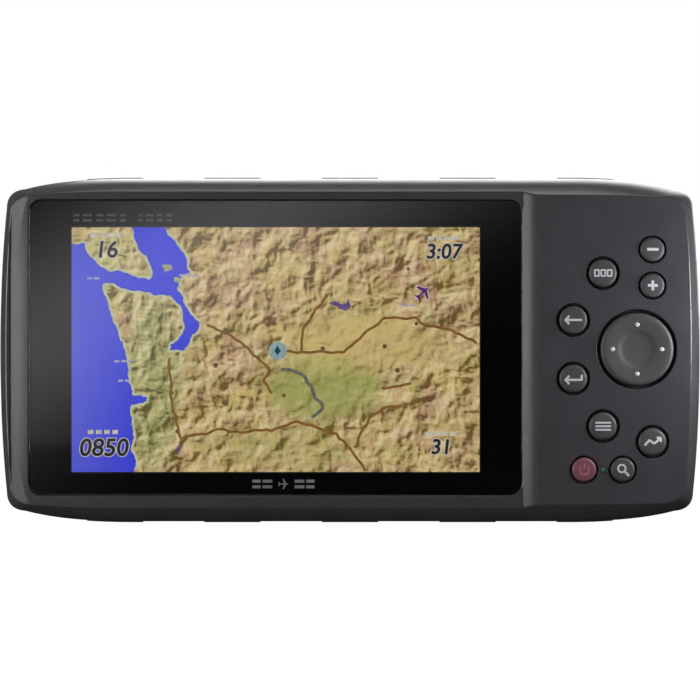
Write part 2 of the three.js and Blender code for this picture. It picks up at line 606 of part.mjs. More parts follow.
// The contacts in the back that meet a powered mount: two rows of six.
function dockPins() {
  const pins = [];
  for (const column of [-2.5, -1.5, -0.5, 0.5, 1.5, 2.5]) {
    for (const row of [-2, 2]) pins.push([DOCK.x + column * 3.6, DOCK.z + row]);
  }
  return pins;
}

function dockContactBlock() {
  const block = union(dockBox(0, 10.9, REAR_Y - 0.4), dockBox(1.4, 10.5, 11.1));
  return cut(block, ...dockPins().map(([x, z]) => rod(x, z, 0.95, 10, REAR_Y, 6)));
}

function dockContactPins() {
  const carrier = box(DOCK.x - 11, DOCK.x + 11, 9.7, 10.2, DOCK.z - 3.4, DOCK.z + 3.4);
  return union(carrier, ...dockPins().map(([x, z]) => rod(x, z, 0.65, 10, REAR_Y - 0.1, 6)));
}

function caseScrew() {
  const { shaft, head, seatY, tipY } = SCREW;
  const under = seatY + 0.1;
  const thread = [[0, tipY], [shaft - 0.4, tipY], [shaft, tipY + 0.8], [shaft, under]];
  const top = [[head, under], [head, under + 1.3], [head - 0.5, under + 1.8], [0, under + 1.8]];
  return turned([...thread, ...top], 10);
}

add("front_case", frontCase(), MATERIAL.casePlastic);
add("rear_case", rearCase(), MATERIAL.casePlastic);
const caseSeal = outlineRing(SEAL.outer, SEAL.inner, SPLIT_Y - SEAL.depth, SPLIT_Y + GAP + SEAL.depth);
add("case_seal", caseSeal, MATERIAL.silicone);
add("grip_band", gripBand(), MATERIAL.gripRubber);

add("cover_glass", prism(glassOutline(-0.15), GLASS.front, GLASS.back), MATERIAL.glass);
const bond = prism(glassOutline(-0.15), GLASS.back + 0.05, LEDGE_Y - 0.05);
add("glass_adhesive", cut(bond, panelBox(1, FRONT_Y, SPLIT_Y)), MATERIAL.foam);
add("display_panel", panelBox(0, PANEL.front, PANEL.back), MATERIAL.screen);
add("display_frame", displayFrame(), MATERIAL.steel);
add("display_cable", displayCable(), MATERIAL.flex);

for (const { name, x, z, size } of KEYS) {
  const material = name === "key_power" ? MATERIAL.powerKey : MATERIAL.keyRubber;
  add(name, keyCap(KEY[size], size === "big" ? KEY.bigHole : KEY.smallHole), material, x, FRONT_Y, z);
}
add("rocker_cap", rockerCap(), MATERIAL.keyRubber, ROCKER.x, ROCKER.pivotY, ROCKER.z);
add("rocker_pivot", rod(0, 0, 5.4, -0.5, 0.6, 20), MATERIAL.blackPlastic, ROCKER.x, ROCKER.pivotY, ROCKER.z);
add("status_light_pipe", rod(LIGHT.x, LIGHT.z, LIGHT.r, FACE_Y - 0.1, -16, 10), MATERIAL.lightPipe);
add("keypad_web", keypadWeb(), MATERIAL.silicone);
add("dome_sheet", domeSheet(), MATERIAL.steel);
add("keypad_board", keypadBoard(), MATERIAL.circuitBoard);
add("keypad_cable", keypadCable(), MATERIAL.flex);

add("main_board", mainBoard(), MATERIAL.circuitBoard);
add("shield_can", box(-30, 12, -9.3, -6.6, -14, 16), MATERIAL.steel);
add("gps_antenna", box(-79, -54, -9.3, -5.1, 8, 33), MATERIAL.ceramic);
add("beeper", beeper(), MATERIAL.blackPlastic, -68, 0, -22);
add("port_board", box(56, 81, -1.2, 0.2, 8, 24), MATERIAL.circuitBoard);
add("usb_port", usbPort(), MATERIAL.steel);
add("antenna_jack", antennaJack(), MATERIAL.gold, 74, 0, 16);
add("card_socket_left", cardSocket(-32), MATERIAL.steel);
add("card_socket_right", cardSocket(-16), MATERIAL.steel);

add("battery_contact_block", batteryContactBlock(), MATERIAL.blackPlastic);
add("battery_contacts", batteryContacts(), MATERIAL.gold);
add("battery_pack", batteryPack(), MATERIAL.battery);
add("battery_cover", batteryCover(), MATERIAL.casePlastic);
add(
  "battery_cover_seal",
  rectRing(BAY.x0 - 1.3, BAY.x1 + 1.3, -BAY.z - 1.3, BAY.z + 1.3, 1.1, SHELF_Y + 0.1, COVER.inner - 0.1),
  MATERIAL.silicone,
);
add("battery_pad", box(-34, 8, 17.9, COVER.inner - 0.1, -9, 9), MATERIAL.foam);
for (const { side, x } of LATCH_SIDES) {
  add(`latch_stud_${side}`, latchStud(), MATERIAL.darkSteel, x, LATCH.axisY, 0);
  add(`latch_ring_${side}`, latchRing(), MATERIAL.steel, x, LATCH.axisY, 0);
}

add("port_cover", portCover(), MATERIAL.gripRubber);
add("port_cover_anchor", box(49.2, 52.8, FLAP.y0, FLAP.y1, 9, 23), MATERIAL.gripRubber);
add("dock_contact_block", dockContactBlock(), MATERIAL.blackPlastic);
add("dock_contact_pins", dockContactPins(), MATERIAL.gold);
add("vent_membrane", rod(VENT.x, VENT.z, 3, REAR_INSIDE_Y - 0.7, REAR_INSIDE_Y - 0.2, 16), MATERIAL.foam);
BOSSES.forEach(([x, z], i) => add(`case_screw_${i + 1}`, caseScrew(), MATERIAL.darkSteel, x, 0, z));

export default device;
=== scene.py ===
import math
import random

import bmesh
import bpy
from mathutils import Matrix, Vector, geometry


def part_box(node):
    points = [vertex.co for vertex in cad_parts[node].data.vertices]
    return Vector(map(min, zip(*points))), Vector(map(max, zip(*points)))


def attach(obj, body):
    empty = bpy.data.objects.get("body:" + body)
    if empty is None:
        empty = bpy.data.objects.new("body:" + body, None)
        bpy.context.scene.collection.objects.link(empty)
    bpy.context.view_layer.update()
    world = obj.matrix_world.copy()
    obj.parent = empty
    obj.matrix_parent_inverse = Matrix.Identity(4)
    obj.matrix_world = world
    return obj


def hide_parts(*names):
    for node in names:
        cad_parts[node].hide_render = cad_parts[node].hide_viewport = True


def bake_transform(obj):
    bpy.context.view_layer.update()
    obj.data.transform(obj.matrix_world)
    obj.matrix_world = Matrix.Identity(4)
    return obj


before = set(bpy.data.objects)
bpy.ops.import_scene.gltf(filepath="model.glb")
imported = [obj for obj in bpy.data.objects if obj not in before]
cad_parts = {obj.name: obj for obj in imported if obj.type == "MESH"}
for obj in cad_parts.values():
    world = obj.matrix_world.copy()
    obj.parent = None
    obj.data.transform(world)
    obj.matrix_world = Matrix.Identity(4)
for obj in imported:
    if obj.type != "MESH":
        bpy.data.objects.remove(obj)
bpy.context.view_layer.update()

# Looks for the portable GPS receiver. Shapes are drawn in millimetres about the middle of the case's height:
# +X runs to the right of the screen, +Y from the screen to the back, +Z up.
MM = 0.001


def node_box(node):
    """Lowest and highest corner of a CAD node, in millimetres about the middle of the case."""
    low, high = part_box(node)
    middle = Vector((0, 0, MID_Z))
    return low / MM - middle, high / MM - middle


def node_middle(node):
    low, high = node_box(node)
    return (low + high) / 2


def turned_node(node):
    """Middle, radius, and front and back y of a round CAD node."""
    low, high = node_box(node)
    return (low + high) / 2, (high.x - low.x) / 2, low.y, high.y


MID_Z = sum(corner.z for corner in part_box("front_case")) / 2 / MM
ROUND_STEPS = 4

# ---- Shapes ----


class Shape:
    """Points in millimetres and the faces between them."""

    def __init__(self):
        self.points = []
        self.faces = []

    def ring(self, points):
        start = len(self.points)
        self.points += [tuple(p) for p in points]
        return list(range(start, len(self.points)))

    def bridge(self, first, second):
        count = len(first)
        for i in range(count):
            j = (i + 1) % count
            self.faces.append((first[i], first[j], second[j], second[i]))

    def cap(self, ring):
        self.faces.append(tuple(ring))

    def fan(self, ring, tip):
        top = self.ring([tip])[0]
        for i, corner in enumerate(ring):
            self.faces.append((corner, ring[(i + 1) % len(ring)], top))

    def join(self, other):
        start = len(self.points)
        self.points += other.points
        self.faces += [tuple(start + i for i in face) for face in other.faces]
        return self

    def moved(self, x=0.0, y=0.0, z=0.0):
        self.points = [(p[0] + x, p[1] + y, p[2] + z) for p in self.points]
        return self


def lofted(sections, closed=False):
    """A solid through rings of points. Its ends are capped, or joined to each other."""
    shape = Shape()
    rings = [shape.ring(section) for section in sections]
    for first, second in zip(rings, rings[1:]):
        shape.bridge(first, second)
    if closed:
        shape.bridge(rings[-1], rings[0])
    else:
        shape.cap(rings[0])
        shape.cap(rings[-1])
    return shape


def flat_ring(outline, y):
    return [(x, y, z) for x, z in outline]


def stacked(outline, rows, closed=False):
    """A piece through flat rings. outline(inset) gives [x, z] points, and rows are [inset, y]."""
    return lofted([flat_ring(outline(inset), y) for inset, y in rows], closed)


def turns(steps):
    """Angles of points round a circle."""
    return [2 * math.pi * i / steps for i in range(steps)]


def quarter():
    """Steps along a rounded edge: a fall from 1 to 0 as a sine, and a rise from 0 to 1 as a cosine."""
    angles = [math.pi / 2 * i / ROUND_STEPS for i in range(ROUND_STEPS + 1)]
    return [(1 - math.sin(t), 1 - math.cos(t)) for t in angles]


def slab(outline, y0, y1, front=0.0, back=0.0):
    """A flat piece from y0 to y1 with its front and back edges rounded."""
    front_edge = quarter() if front else [(0, 0)]
    back_edge = reversed(quarter()) if back else [(0, 0)]
    return stacked(
        outline,
        [(front * fall, y0 + front * rise) for fall, rise in front_edge]
        + [(back * fall, y1 - back * rise) for fall, rise in back_edge])


def lathed(profile, x=0.0, z=0.0, steps=48):
    """A turned piece about a line along Y, from [radius, y] pairs. Off the line, it is a closed ring."""
    shape = Shape()
    rings = [
        shape.ring((x + radius * math.cos(t), y, z + radius * math.sin(t)) for t in turns(steps))
        if radius > 0 else None
        for radius, y in profile
    ]
    for i, (first, second) in enumerate(zip(rings, rings[1:])):
        if first is None:
            shape.fan(second, (x, profile[i][1], z))
        elif second is None:
            shape.fan(first, (x, profile[i + 1][1], z))
        else:
            shape.bridge(first, second)
    if rings[0] is not None and rings[-1] is not None:
        shape.bridge(rings[-1], rings[0])
    return shape


def round_rect(x0, x1, z0, z1, corner, steps=8):
    """Returns outline(inset) for a rectangle with round corners."""

    def outline(inset=0.0):
        r = max(corner - inset, 0.02)
        a0, a1, b0, b1 = x0 + inset + r, x1 - inset - r, z0 + inset + r, z1 - inset - r
        centres = [(a1, b1, 0), (a0, b1, 1), (a0, b0, 2), (a1, b0, 3)]
        return [
            (cx + r * math.cos(t), cz + r * math.sin(t))
            for cx, cz, quarter in centres
            for t in (math.pi / 2 * (quarter + i / steps) for i in range(steps + 1))
        ]

    return outline


def circle(radius, x=0.0, z=0.0, steps=48):
    def outline(inset=0.0):
        r = radius - inset
        return [(x + r * math.cos(t), z + r * math.sin(t)) for t in turns(steps)]

    return outline


def resampled(points, step):
    """Points along a line of [x, z] corners, no further apart than step."""
    line = [points[0]]
    for (ax, az), (bx, bz) in zip(points, points[1:]):
        count = max(1, math.ceil(math.hypot(bx - ax, bz - az) / step))
        line += [(ax + (bx - ax) * i / count, az + (bz - az) * i / count) for i in range(1, count + 1)]
    return line


def ribbon(line, width, front, back, closed=False):
    """A stroke along [x, z] points. front and back give y at an [x, z] point."""
    sides = []
    count = len(line)
    for i, (x, z) in enumerate(line):
        ax, az = line[(i - 1) % count if closed else max(i - 1, 0)]
        bx, bz = line[(i + 1) % count if closed else min(i + 1, count - 1)]
        length = math.hypot(bx - ax, bz - az) or 1
        nx, nz = -(bz - az) / length * width / 2, (bx - ax) / length * width / 2
        sides.append(((x + nx, z + nz), (x - nx, z - nz)))
    sections = [
        [(lx, front(lx, lz), lz), (rx, front(rx, rz), rz), (rx, back(rx, rz), rz), (lx, back(lx, lz), lz)]
        for (lx, lz), (rx, rz) in sides
    ]
    return lofted(sections, closed)


def filled(outline, front, back):
    """A flat patch inside an outline. front and back give y at an [x, z] point."""
    return lofted([[(x, y(x, z), z) for x, z in outline] for y in (front, back)])


def level(y):
    return lambda x, z: y


def make(name, shape, material, body="housing", replaces=(), sharp=35, ride=True):
    """Turns a shape into a Blender object that rides on a CAD body."""
    mesh = bpy.data.meshes.new(name)
    mesh.from_pydata([Vector((x, y, z + MID_Z)) * MM for x, y, z in shape.points], [], shape.faces)
    piece = bpy.data.objects.new(name, mesh)
    bpy.context.scene.collection.objects.link(piece)
    tidy(piece, sharp)
    mesh.materials.append(material)
    if ride:
        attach(piece, body)
        if replaces:
            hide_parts(*replaces)
    return piece


def tidy(piece, sharp=35):
    """Makes faces point out and look smooth, apart from edges sharper than an angle."""
    work = bmesh.new()
    work.from_mesh(piece.data)
    bmesh.ops.remove_doubles(work, verts=work.verts, dist=1e-7)
    bmesh.ops.dissolve_degenerate(work, edges=work.edges, dist=1e-7)
    bmesh.ops.recalc_face_normals(work, faces=work.faces)
    for face in work.faces:
        face.smooth = True
    work.to_mesh(piece.data)
    work.free()
    piece.data.set_sharp_from_angle(angle=math.radians(sharp))


def applied(piece):
    """Applies a piece's modifiers to its mesh."""
    graph = bpy.context.evaluated_depsgraph_get()
    mesh = bpy.data.meshes.new_from_object(piece.evaluated_get(graph))
    piece.modifiers.clear()
    piece.data = mesh


def combine(piece, shapes, operation):
    """Adds shapes to a piece, or cuts them out of it."""
    for shape in shapes:
        tool = make(piece.name + "_tool", shape, None, ride=False)
        modifier = piece.modifiers.new("combine", "BOOLEAN")
        modifier.operation = operation
        modifier.solver = "MANIFOLD"
        modifier.object = tool
        bpy.context.view_layer.update()
        applied(piece)
        bpy.data.objects.remove(tool)
    material = piece.data.materials[0]
    piece.data.materials.clear()
    piece.data.materials.append(material)
    piece.data.polygons.foreach_set("material_index", [0] * len(piece.data.polygons))


def finished(piece, sharp=30):
    """Last pass over a cut mesh: flat faces are merged and shading follows the large faces."""
    work = bmesh.new()
    work.from_mesh(piece.data)
    bmesh.ops.remove_doubles(work, verts=work.verts, dist=2e-6)
    bmesh.ops.dissolve_limit(
        work, angle_limit=math.radians(0.2), verts=work.verts, edges=work.edges, delimit={"SHARP"})
    work.to_mesh(piece.data)
    work.free()
    tidy(piece, sharp)
    modifier = piece.modifiers.new("weighted", "WEIGHTED_NORMAL")
    modifier.keep_sharp = True
    bpy.context.view_layer.update()
    applied(piece)


# ---- Materials ----


def srgb(red, green, blue):
    """A colour from its 0 to 255 values."""
    parts = [c / 255 for c in (red, green, blue)]
    return [c / 12.92 if c <= 0.04045 else ((c + 0.055) / 1.055) ** 2.4 for c in parts] + [1.0]


class Nodes:
    """A material's node tree, built with short calls. Sizes are in millimetres."""

    def __init__(self, name):
        self.material = bpy.data.materials.new(name)
        self.material.use_nodes = True
        self.tree = self.material.node_tree
        self.tree.nodes.clear()
        self.shader = self.tree.nodes.new("ShaderNodeBsdfPrincipled")
        output = self.tree.nodes.new("ShaderNodeOutputMaterial")
        self.tree.links.new(self.shader.outputs["BSDF"], output.inputs["Surface"])
        self.coords = self.tree.nodes.new("ShaderNodeTexCoord").outputs["Object"]

    def put(self, socket, value):
        if isinstance(value, bpy.types.NodeSocket):
            self.tree.links.new(value, socket)
        else:
            socket.default_value = value

    def set(self, **values):
        for name, value in values.items():
            self.put(self.shader.inputs[name.replace("_", " ")], value)

    def node(self, kind, **inputs):
        made = self.tree.nodes.new(kind)
        for name, value in inputs.items():
            self.put(made.inputs[name.replace("_", " ")], value)
        return made

    def noise(self, size, detail=2.0, roughness=0.5, distortion=0.0, vector=None):
        made = self.node(
            "ShaderNodeTexNoise", Vector=vector or self.coords, Scale=1 / (size * MM),
            Detail=detail, Roughness=roughness, Distortion=distortion)
        return made.outputs["Fac"]

    def shifted(self, x, z):
        made = self.tree.nodes.new("ShaderNodeVectorMath")
        self.put(made.inputs[0], self.coords)
        made.inputs[1].default_value = (x * MM, 0, z * MM)
        return made.outputs[0]

    def axis(self, index):
        made = self.node("ShaderNodeSeparateXYZ", Vector=self.coords)
        return made.outputs[index]

    def math(self, operation, first, second=0.0):
        made = self.tree.nodes.new("ShaderNodeMath")
        made.operation = operation
        self.put(made.inputs[0], first)
        self.put(made.inputs[1], second)
        return made.outputs[0]

    def span(self, value, low, high, to_low=0.0, to_high=1.0, smooth=False):
        made = self.tree.nodes.new("ShaderNodeMapRange")
        made.interpolation_type = "SMOOTHSTEP" if smooth else "LINEAR"
        for name, part in zip(("Value", "From Min", "From Max", "To Min", "To Max"),
                              (value, low, high, to_low, to_high)):
            self.put(made.inputs[name], part)
        return made.outputs["Result"]

    def mix(self, factor, first, second, blend="MIX"):
        made = self.tree.nodes.new("ShaderNodeMix")
        made.data_type = "RGBA"
        made.blend_type = blend
        self.put(made.inputs[0], factor)
        self.put(made.inputs[6], first)
        self.put(made.inputs[7], second)
        return made.outputs[2]

    def bump(self, height, depth):
        made = self.node("ShaderNodeBump", Strength=1.0, Distance=depth * MM, Height=height)
        return made.outputs["Normal"]


def shades(color, dark, light):
    """A darker and a lighter version of a colour."""
    return [c * dark for c in color[:3]] + [1.0], [c * light for c in color[:3]] + [1.0]


def moulded(name, color, roughness, grain=0.35, depth=0.012, vary=0.08):
    """Moulded plastic or rubber: a spark-eroded grain, faint patches of colour and uneven sheen."""
    nodes = Nodes(name)
    dark, light = shades(color, 1 - vary, 1 + vary)
    patches = nodes.noise(9, detail=4)
    fine = nodes.noise(grain, detail=3, roughness=0.6)
    base = nodes.mix(nodes.span(patches, 0.35, 0.65), dark, light)
    speck = nodes.mix(nodes.span(fine, 0.3, 0.75, 0, 0.6), base, light)
    nodes.set(Base_Color=speck)
    uneven = nodes.math("ADD", nodes.math("MULTIPLY", fine, 0.5), nodes.math("MULTIPLY", patches, 0.5))
    nodes.set(Roughness=nodes.span(uneven, 0.35, 0.65, roughness - 0.03, roughness + 0.03))
    nodes.set(Normal=nodes.bump(fine, depth))
    return nodes.material


def metal(name, color, roughness):
    """Sheet or turned metal with fine marks."""
    nodes = Nodes(name)
    dark, light = shades(color, 0.9, 1.1)
    marks = nodes.noise(0.25, detail=4, roughness=0.6)
    clouds = nodes.noise(4, detail=3)
    nodes.set(Base_Color=nodes.mix(nodes.span(clouds, 0.3, 0.7), dark, light), Metallic=1.0)
    nodes.set(Roughness=nodes.span(marks, 0.3, 0.7, roughness - 0.08, roughness + 0.1))
    nodes.set(Normal=nodes.bump(marks, 0.004))
    return nodes.material


def board(name):
    """Circuit board: solder mask over tracks, with a fine weave below."""
    nodes = Nodes(name)
    tracks = nodes.noise(1.6, detail=1, distortion=1.5)
    lines = nodes.span(nodes.math("ABSOLUTE", nodes.math("SUBTRACT", tracks, 0.5)), 0.01, 0.03)
    weave = nodes.noise(0.4, detail=2)
    mask = nodes.mix(lines, srgb(48, 104, 62), srgb(24, 66, 40))
    nodes.set(Base_Color=nodes.mix(nodes.span(weave, 0.3, 0.8, 0, 0.25), mask, srgb(60, 110, 70)))
    nodes.set(Roughness=nodes.span(weave, 0.3, 0.7, 0.35, 0.5))
    nodes.set(Normal=nodes.bump(lines, 0.03))
    return nodes.material


def open_foam(name):
    """Foam with open cells, with painted shade darkening the middle of each cell."""
    nodes = Nodes(name)
    cells = nodes.node("ShaderNodeTexVoronoi", Vector=nodes.coords, Scale=1 / (0.5 * MM)).outputs["Distance"]
    # Painted shade: the middle of each open cell is coloured darker than the walls between cells, standing in
    # for shade in the pores.
    nodes.set(Base_Color=nodes.mix(nodes.span(cells, 0, 0.6), srgb(16, 16, 17), srgb(48, 47, 49)))
    nodes.set(Roughness=0.95, Normal=nodes.bump(cells, 0.15))
    return nodes.material


def painted(name, color, roughness=0.5):
    """Printed or moulded-in legend: slightly uneven ink."""
    nodes = Nodes(name)
    dark, light = shades(color, 0.88, 1.0)
    ink = nodes.noise(0.6, detail=3)
    nodes.set(Base_Color=nodes.mix(nodes.span(ink, 0.35, 0.65), dark, light), Roughness=roughness)
    nodes.set(Normal=nodes.bump(ink, 0.01))
    return nodes.material


CASE = moulded("case_plastic", srgb(53, 51, 55), 0.3)
RUBBER = moulded("grip_rubber", srgb(50, 48, 52), 0.72, grain=0.25, depth=0.02, vary=0.12)
KEYS = moulded("key_rubber", srgb(51, 49, 52), 0.6, grain=0.2, depth=0.006)
POWER_KEY = moulded("power_key", srgb(96, 52, 62), 0.62, grain=0.2, depth=0.006)
SILICONE = moulded("silicone", srgb(112, 115, 118), 0.6, grain=0.6)
BLACK_PLASTIC = moulded("black_plastic", srgb(24, 24, 26), 0.45, grain=0.3)
BATTERY = moulded("battery", srgb(44, 46, 52), 0.42, grain=0.5, depth=0.006)
CERAMIC = moulded("ceramic", srgb(186, 172, 146), 0.55, grain=0.15, depth=0.02)
FLEX = moulded("flex", srgb(150, 96, 34), 0.4, grain=0.8, depth=0.004, vary=0.15)
STEEL = metal("steel", srgb(176, 178, 180), 0.32)
DARK_STEEL = metal("dark_steel", srgb(74, 75, 80), 0.38)
GOLD = metal("gold", srgb(214, 172, 92), 0.28)
PANEL = moulded("display_panel", srgb(12, 13, 16), 0.5, grain=0.2)
BOARD = board("circuit_board")
FOAM = open_foam("foam")
LEGEND = painted("legend", srgb(176, 175, 180))
RED_LEGEND = painted("red_legend", srgb(170, 82, 92))

CAD_LOOKS = {
    "case_plastic": CASE, "grip_rubber": RUBBER, "key_rubber": KEYS, "power_key": POWER_KEY,
    "silicone": SILICONE, "black_plastic": BLACK_PLASTIC, "battery": BATTERY, "ceramic": CERAMIC,
    "flex": FLEX, "steel": STEEL, "dark_steel": DARK_STEEL, "gold": GOLD, "circuit_board": BOARD,
    "foam": FOAM, "screen": PANEL,
}

# ---- Case outline ----
FRONT_LOW, FRONT_HIGH = node_box("front_case")
FACE_Y = FRONT_LOW.y
SPLIT_Y = FRONT_HIGH.y
FULL = {"half_w": FRONT_HIGH.x, "half_h": FRONT_HIGH.z, "drop": 2.9, "corner": 5.0, "bulge": 1.8}
RIM = {"half_w": FULL["half_w"] - 4, "half_h": FULL["half_h"] - 5.4, "drop": 0.4, "corner": 6.0, "bulge": 1.3}
GLASS_LOW, GLASS_HIGH = node_box("cover_glass")
BEZEL_Y = FACE_Y + 1.2
BEVEL_X0, BEVEL_X1 = GLASS_HIGH.x + 0.25, GLASS_HIGH.x + 4.75

EVEN = [i / 20 for i in range(-20, 21)]
AT_BEVEL = [0.76 + 0.1 * i / 16 for i in range(17)]
STRAIGHT = sorted(set(EVEN + AT_BEVEL))


def quadratic(start, control, end, steps=10):
    points = []
    for i in range(1, steps + 1):
        t = i / steps
        a, b, c = (1 - t) ** 2, 2 * t * (1 - t), t * t
        points.append(tuple(a * start[k] + b * control[k] + c * end[k] for k in range(2)))
    return points


def case_outline(half_w, half_h, drop, corner, bulge):
    """Straight at the middle of top and bottom, falling to rounded corners, with bulged sides."""
    side, shoulder_z, straight, shoulder = half_w - bulge, half_h - drop, half_w * 0.63, half_w * 0.82
    top = [(straight * t, half_h) for t in reversed(STRAIGHT)]
    path = [
        ((-shoulder, half_h), (-(side - corner), shoulder_z)),
        ((-side, shoulder_z - 0.4), (-side, shoulder_z - corner)),
        ((-half_w, shoulder_z / 2), (-half_w, 0)),
        ((-half_w, -shoulder_z / 2), (-side, -(shoulder_z - corner))),
        ((-side, -(shoulder_z - 0.4)), (-(side - corner), -shoulder_z)),
        ((-shoulder, -half_h), (-straight, -half_h)),
    ]
    left = []
    start = top[-1]
    for control, end in path:
        left += quadratic(start, control, end)
        start = end
    bottom = [(straight * t, -half_h) for t in STRAIGHT[1:]]
    right = [(-x, z) for x, z in reversed(left[:-1])]
    return top + left + bottom + right


def blended_outline(amount):
    """The case outline, from the full one at 0 to the rim of the face at 1."""
    return case_outline(**{key: FULL[key] + amount * (RIM[key] - FULL[key]) for key in FULL})


def inset_outline(inset):
    return case_outline(
        FULL["half_w"] - inset, FULL["half_h"] - inset, FULL["drop"], max(5 - inset * 0.5, 2), FULL["bulge"])


def face_profile():
    """[x, y] points across the front face: left band, bezel level with the glass, bevel, keypad."""
    left = GLASS_LOW.x
    points = [
        (-96, BEZEL_Y + 0.5), (left - 5.9, BEZEL_Y + 0.5), (left - 5.4, BEZEL_Y + 0.55),
        (left - 5.0, BEZEL_Y + 0.85), (left - 4.6, BEZEL_Y + 0.8), (left - 0.5, BEZEL_Y),
    ]
    for i in range(9):
        u = 1 - i / 8
        points.append((BEVEL_X1 + (BEVEL_X0 - BEVEL_X1) * u, FACE_Y + 0.46 * u + 0.74 * u * u))
    points.append((96, FACE_Y))
    return points


PROFILE = face_profile()


def face_y(x):
    for (x0, y0), (x1, y1) in zip(PROFILE, PROFILE[1:]):
        if x <= x1:
            return y0 + (y1 - y0) * (x - x0) / (x1 - x0)
    return PROFILE[-1][1]


def soft_max(first, second, reach=0.35):
    blend = max(reach - abs(first - second), 0) / reach
    return max(first, second) + blend * blend * reach / 4


def face_fill(shape, ring):
    """Fills the last ring with triangles whose corners follow the face profile."""
    outline = [Vector((shape.points[i][0], shape.points[i][2])) for i in ring]
    points, edges = list(outline), []
    for x, _ in PROFILE[4:-1]:
        heights = []
        for a, b in zip(outline, outline[1:] + outline[:1]):
            if (a.x - x) * (b.x - x) < 0:
                heights.append(a.y + (b.y - a.y) * (x - a.x) / (b.x - a.x))
        if len(heights) < 2:
            continue
        start = len(points)
        count = 24
        for i in range(count + 1):
            points.append(Vector((x, min(heights) + 0.4 + (max(heights) - min(heights) - 0.8) * i / count)))
        edges += [(start + i, start + i + 1) for i in range(count)]
    corners, _, triangles, origins, _, _ = geometry.delaunay_2d_cdt(
        points, edges, [list(range(len(outline)))], 1, 1e-5)
    index = []
    for corner, origin in zip(corners, origins):
        on_ring = [i for i in origin if i < len(outline)]
        if on_ring:
            index.append(ring[on_ring[0]])
        else:
            index.append(shape.ring([(corner.x, face_y(corner.x), corner.y)])[0])
    shape.faces += [tuple(index[i] for i in triangle) for triangle in triangles]


def front_outside():
    """The outside of the front case, as rings from the split line to the rim of the face."""
    steps = [0, .08, .16, .25, .34, .43, .52, .6, .67, .73, .78, .82, .85, .87, .885, .9, .91, .92, .93, .94,
             .95, .96, .97, .98, .985, .99, .995, 1, 1.005, 1.01, 1.02, 1.03]
    shape = Shape()
    rings = []
    for s in steps:
        y = SPLIT_Y + (FACE_Y - SPLIT_Y) * s
        rings.append(shape.ring(
            (x, soft_max(y, face_y(x)), z) for x, z in blended_outline(s ** 2.6)))
    for first, second in zip(rings, rings[1:]):
        shape.bridge(first, second)
    shape.cap(rings[0])
    face_fill(shape, rings[-1])
    return shape


def hole(radius, x, z, top, edge, steps):
    """A cutter for a round hole with a small rounded edge at its mouth."""
    bottom = top + HOLE_DEPTH
    profile = [(0, top - 3), (radius + edge * 1.6, top - 3), (radius + edge * 1.6, top - edge * 0.6)]
    profile += [(radius + edge * fall, top + edge * rise) for fall, rise in quarter()]
    return lathed(profile + [(radius, bottom), (0, bottom)], x, z, steps)


KEY_NODES = [
    "key_zoom_out", "key_zoom_in", "key_page", "key_back", "key_enter",
    "key_menu", "key_navigate", "key_power", "key_find",
]
# Each hole in the face: the node in it, its gap at the side, its edge radius, and its steps round.
FACE_HOLES = [(node, -0.5, 0.2, 48) for node in KEY_NODES]
FACE_HOLES += [("rocker_cap", -0.6, 0.35, 96), ("status_light_pipe", 0.1, 0.1, 48)]
HOLE_DEPTH = -15.0 - FACE_Y
GLASS_OUTLINE = round_rect(GLASS_LOW.x, GLASS_HIGH.x, GLASS_LOW.z, GLASS_HIGH.z, 3.4)


def front_shell():
    """Front case, hollow, with the frame round the glass, the window and the key holes."""
    piece = make("front_shell", front_outside(), CASE, replaces=["front_case"])
    inside = lofted([
        flat_ring(case_outline(**{**RIM, "half_w": 87.6, "half_h": 38.9}), FACE_Y + 2.6),
        flat_ring(case_outline(**{**RIM, "half_w": 89.8, "half_h": 41.4, "drop": 2.3}), -15),
        flat_ring(inset_outline(4.6), SPLIT_Y + 1),
    ])
    combine(piece, [inside], "DIFFERENCE")
    combine(piece, [slab(lambda inset: GLASS_OUTLINE(-1.4), FACE_Y + 2.2, GLASS_HIGH.y + 1.8)], "UNION")
    pocket = stacked(
        GLASS_OUTLINE,
        [(-0.75, FACE_Y - 3), (-0.45, BEZEL_Y - 0.1)]
        + [(-0.15 - 0.25 * fall, BEZEL_Y + 0.25 * rise) for fall, rise in quarter()]
        + [(-0.15, GLASS_HIGH.y + 0.3)])
    low, high = node_box("display_panel")
    window = slab(round_rect(low.x - 0.8, high.x + 0.8, low.z - 0.8, high.z + 0.8, 0.5), -20, SPLIT_Y + 3)
    holes = []
    for node, gap, edge, steps in FACE_HOLES:
        middle, radius, _, _ = turned_node(node)
        holes.append(hole(radius + gap, middle.x, middle.z, FACE_Y, edge, steps))
    combine(piece, [pocket, window] + holes, "DIFFERENCE")
    finished(piece)


# ---- Keys ----


def dome(height, radius):
    """y of a key's top at an [x, z] point about its middle: a shallow dome with a rolled edge."""

    def at(x, z):
        r = math.hypot(x, z)
        return height + 0.16 * (r / radius) ** 2 + 0.6 * max(0, (r - radius * 0.8) / (radius * 0.2)) ** 2.5

    return at


def stroke(corners, width, at, closed=False):
    line = resampled(corners + corners[:1] if closed else corners, 0.35)
    if closed:
        line = line[:-1]
    return ribbon(line, width, lambda x, z: at(x, z) - 0.035, lambda x, z: at(x, z) + 0.1, closed)


def arc(radius, start, end, x=0.0, z=0.0, steps=20):
    turns = [math.radians(start + (end - start) * i / steps) for i in range(steps + 1)]
    return [(x + radius * math.cos(t), z + radius * math.sin(t)) for t in turns]


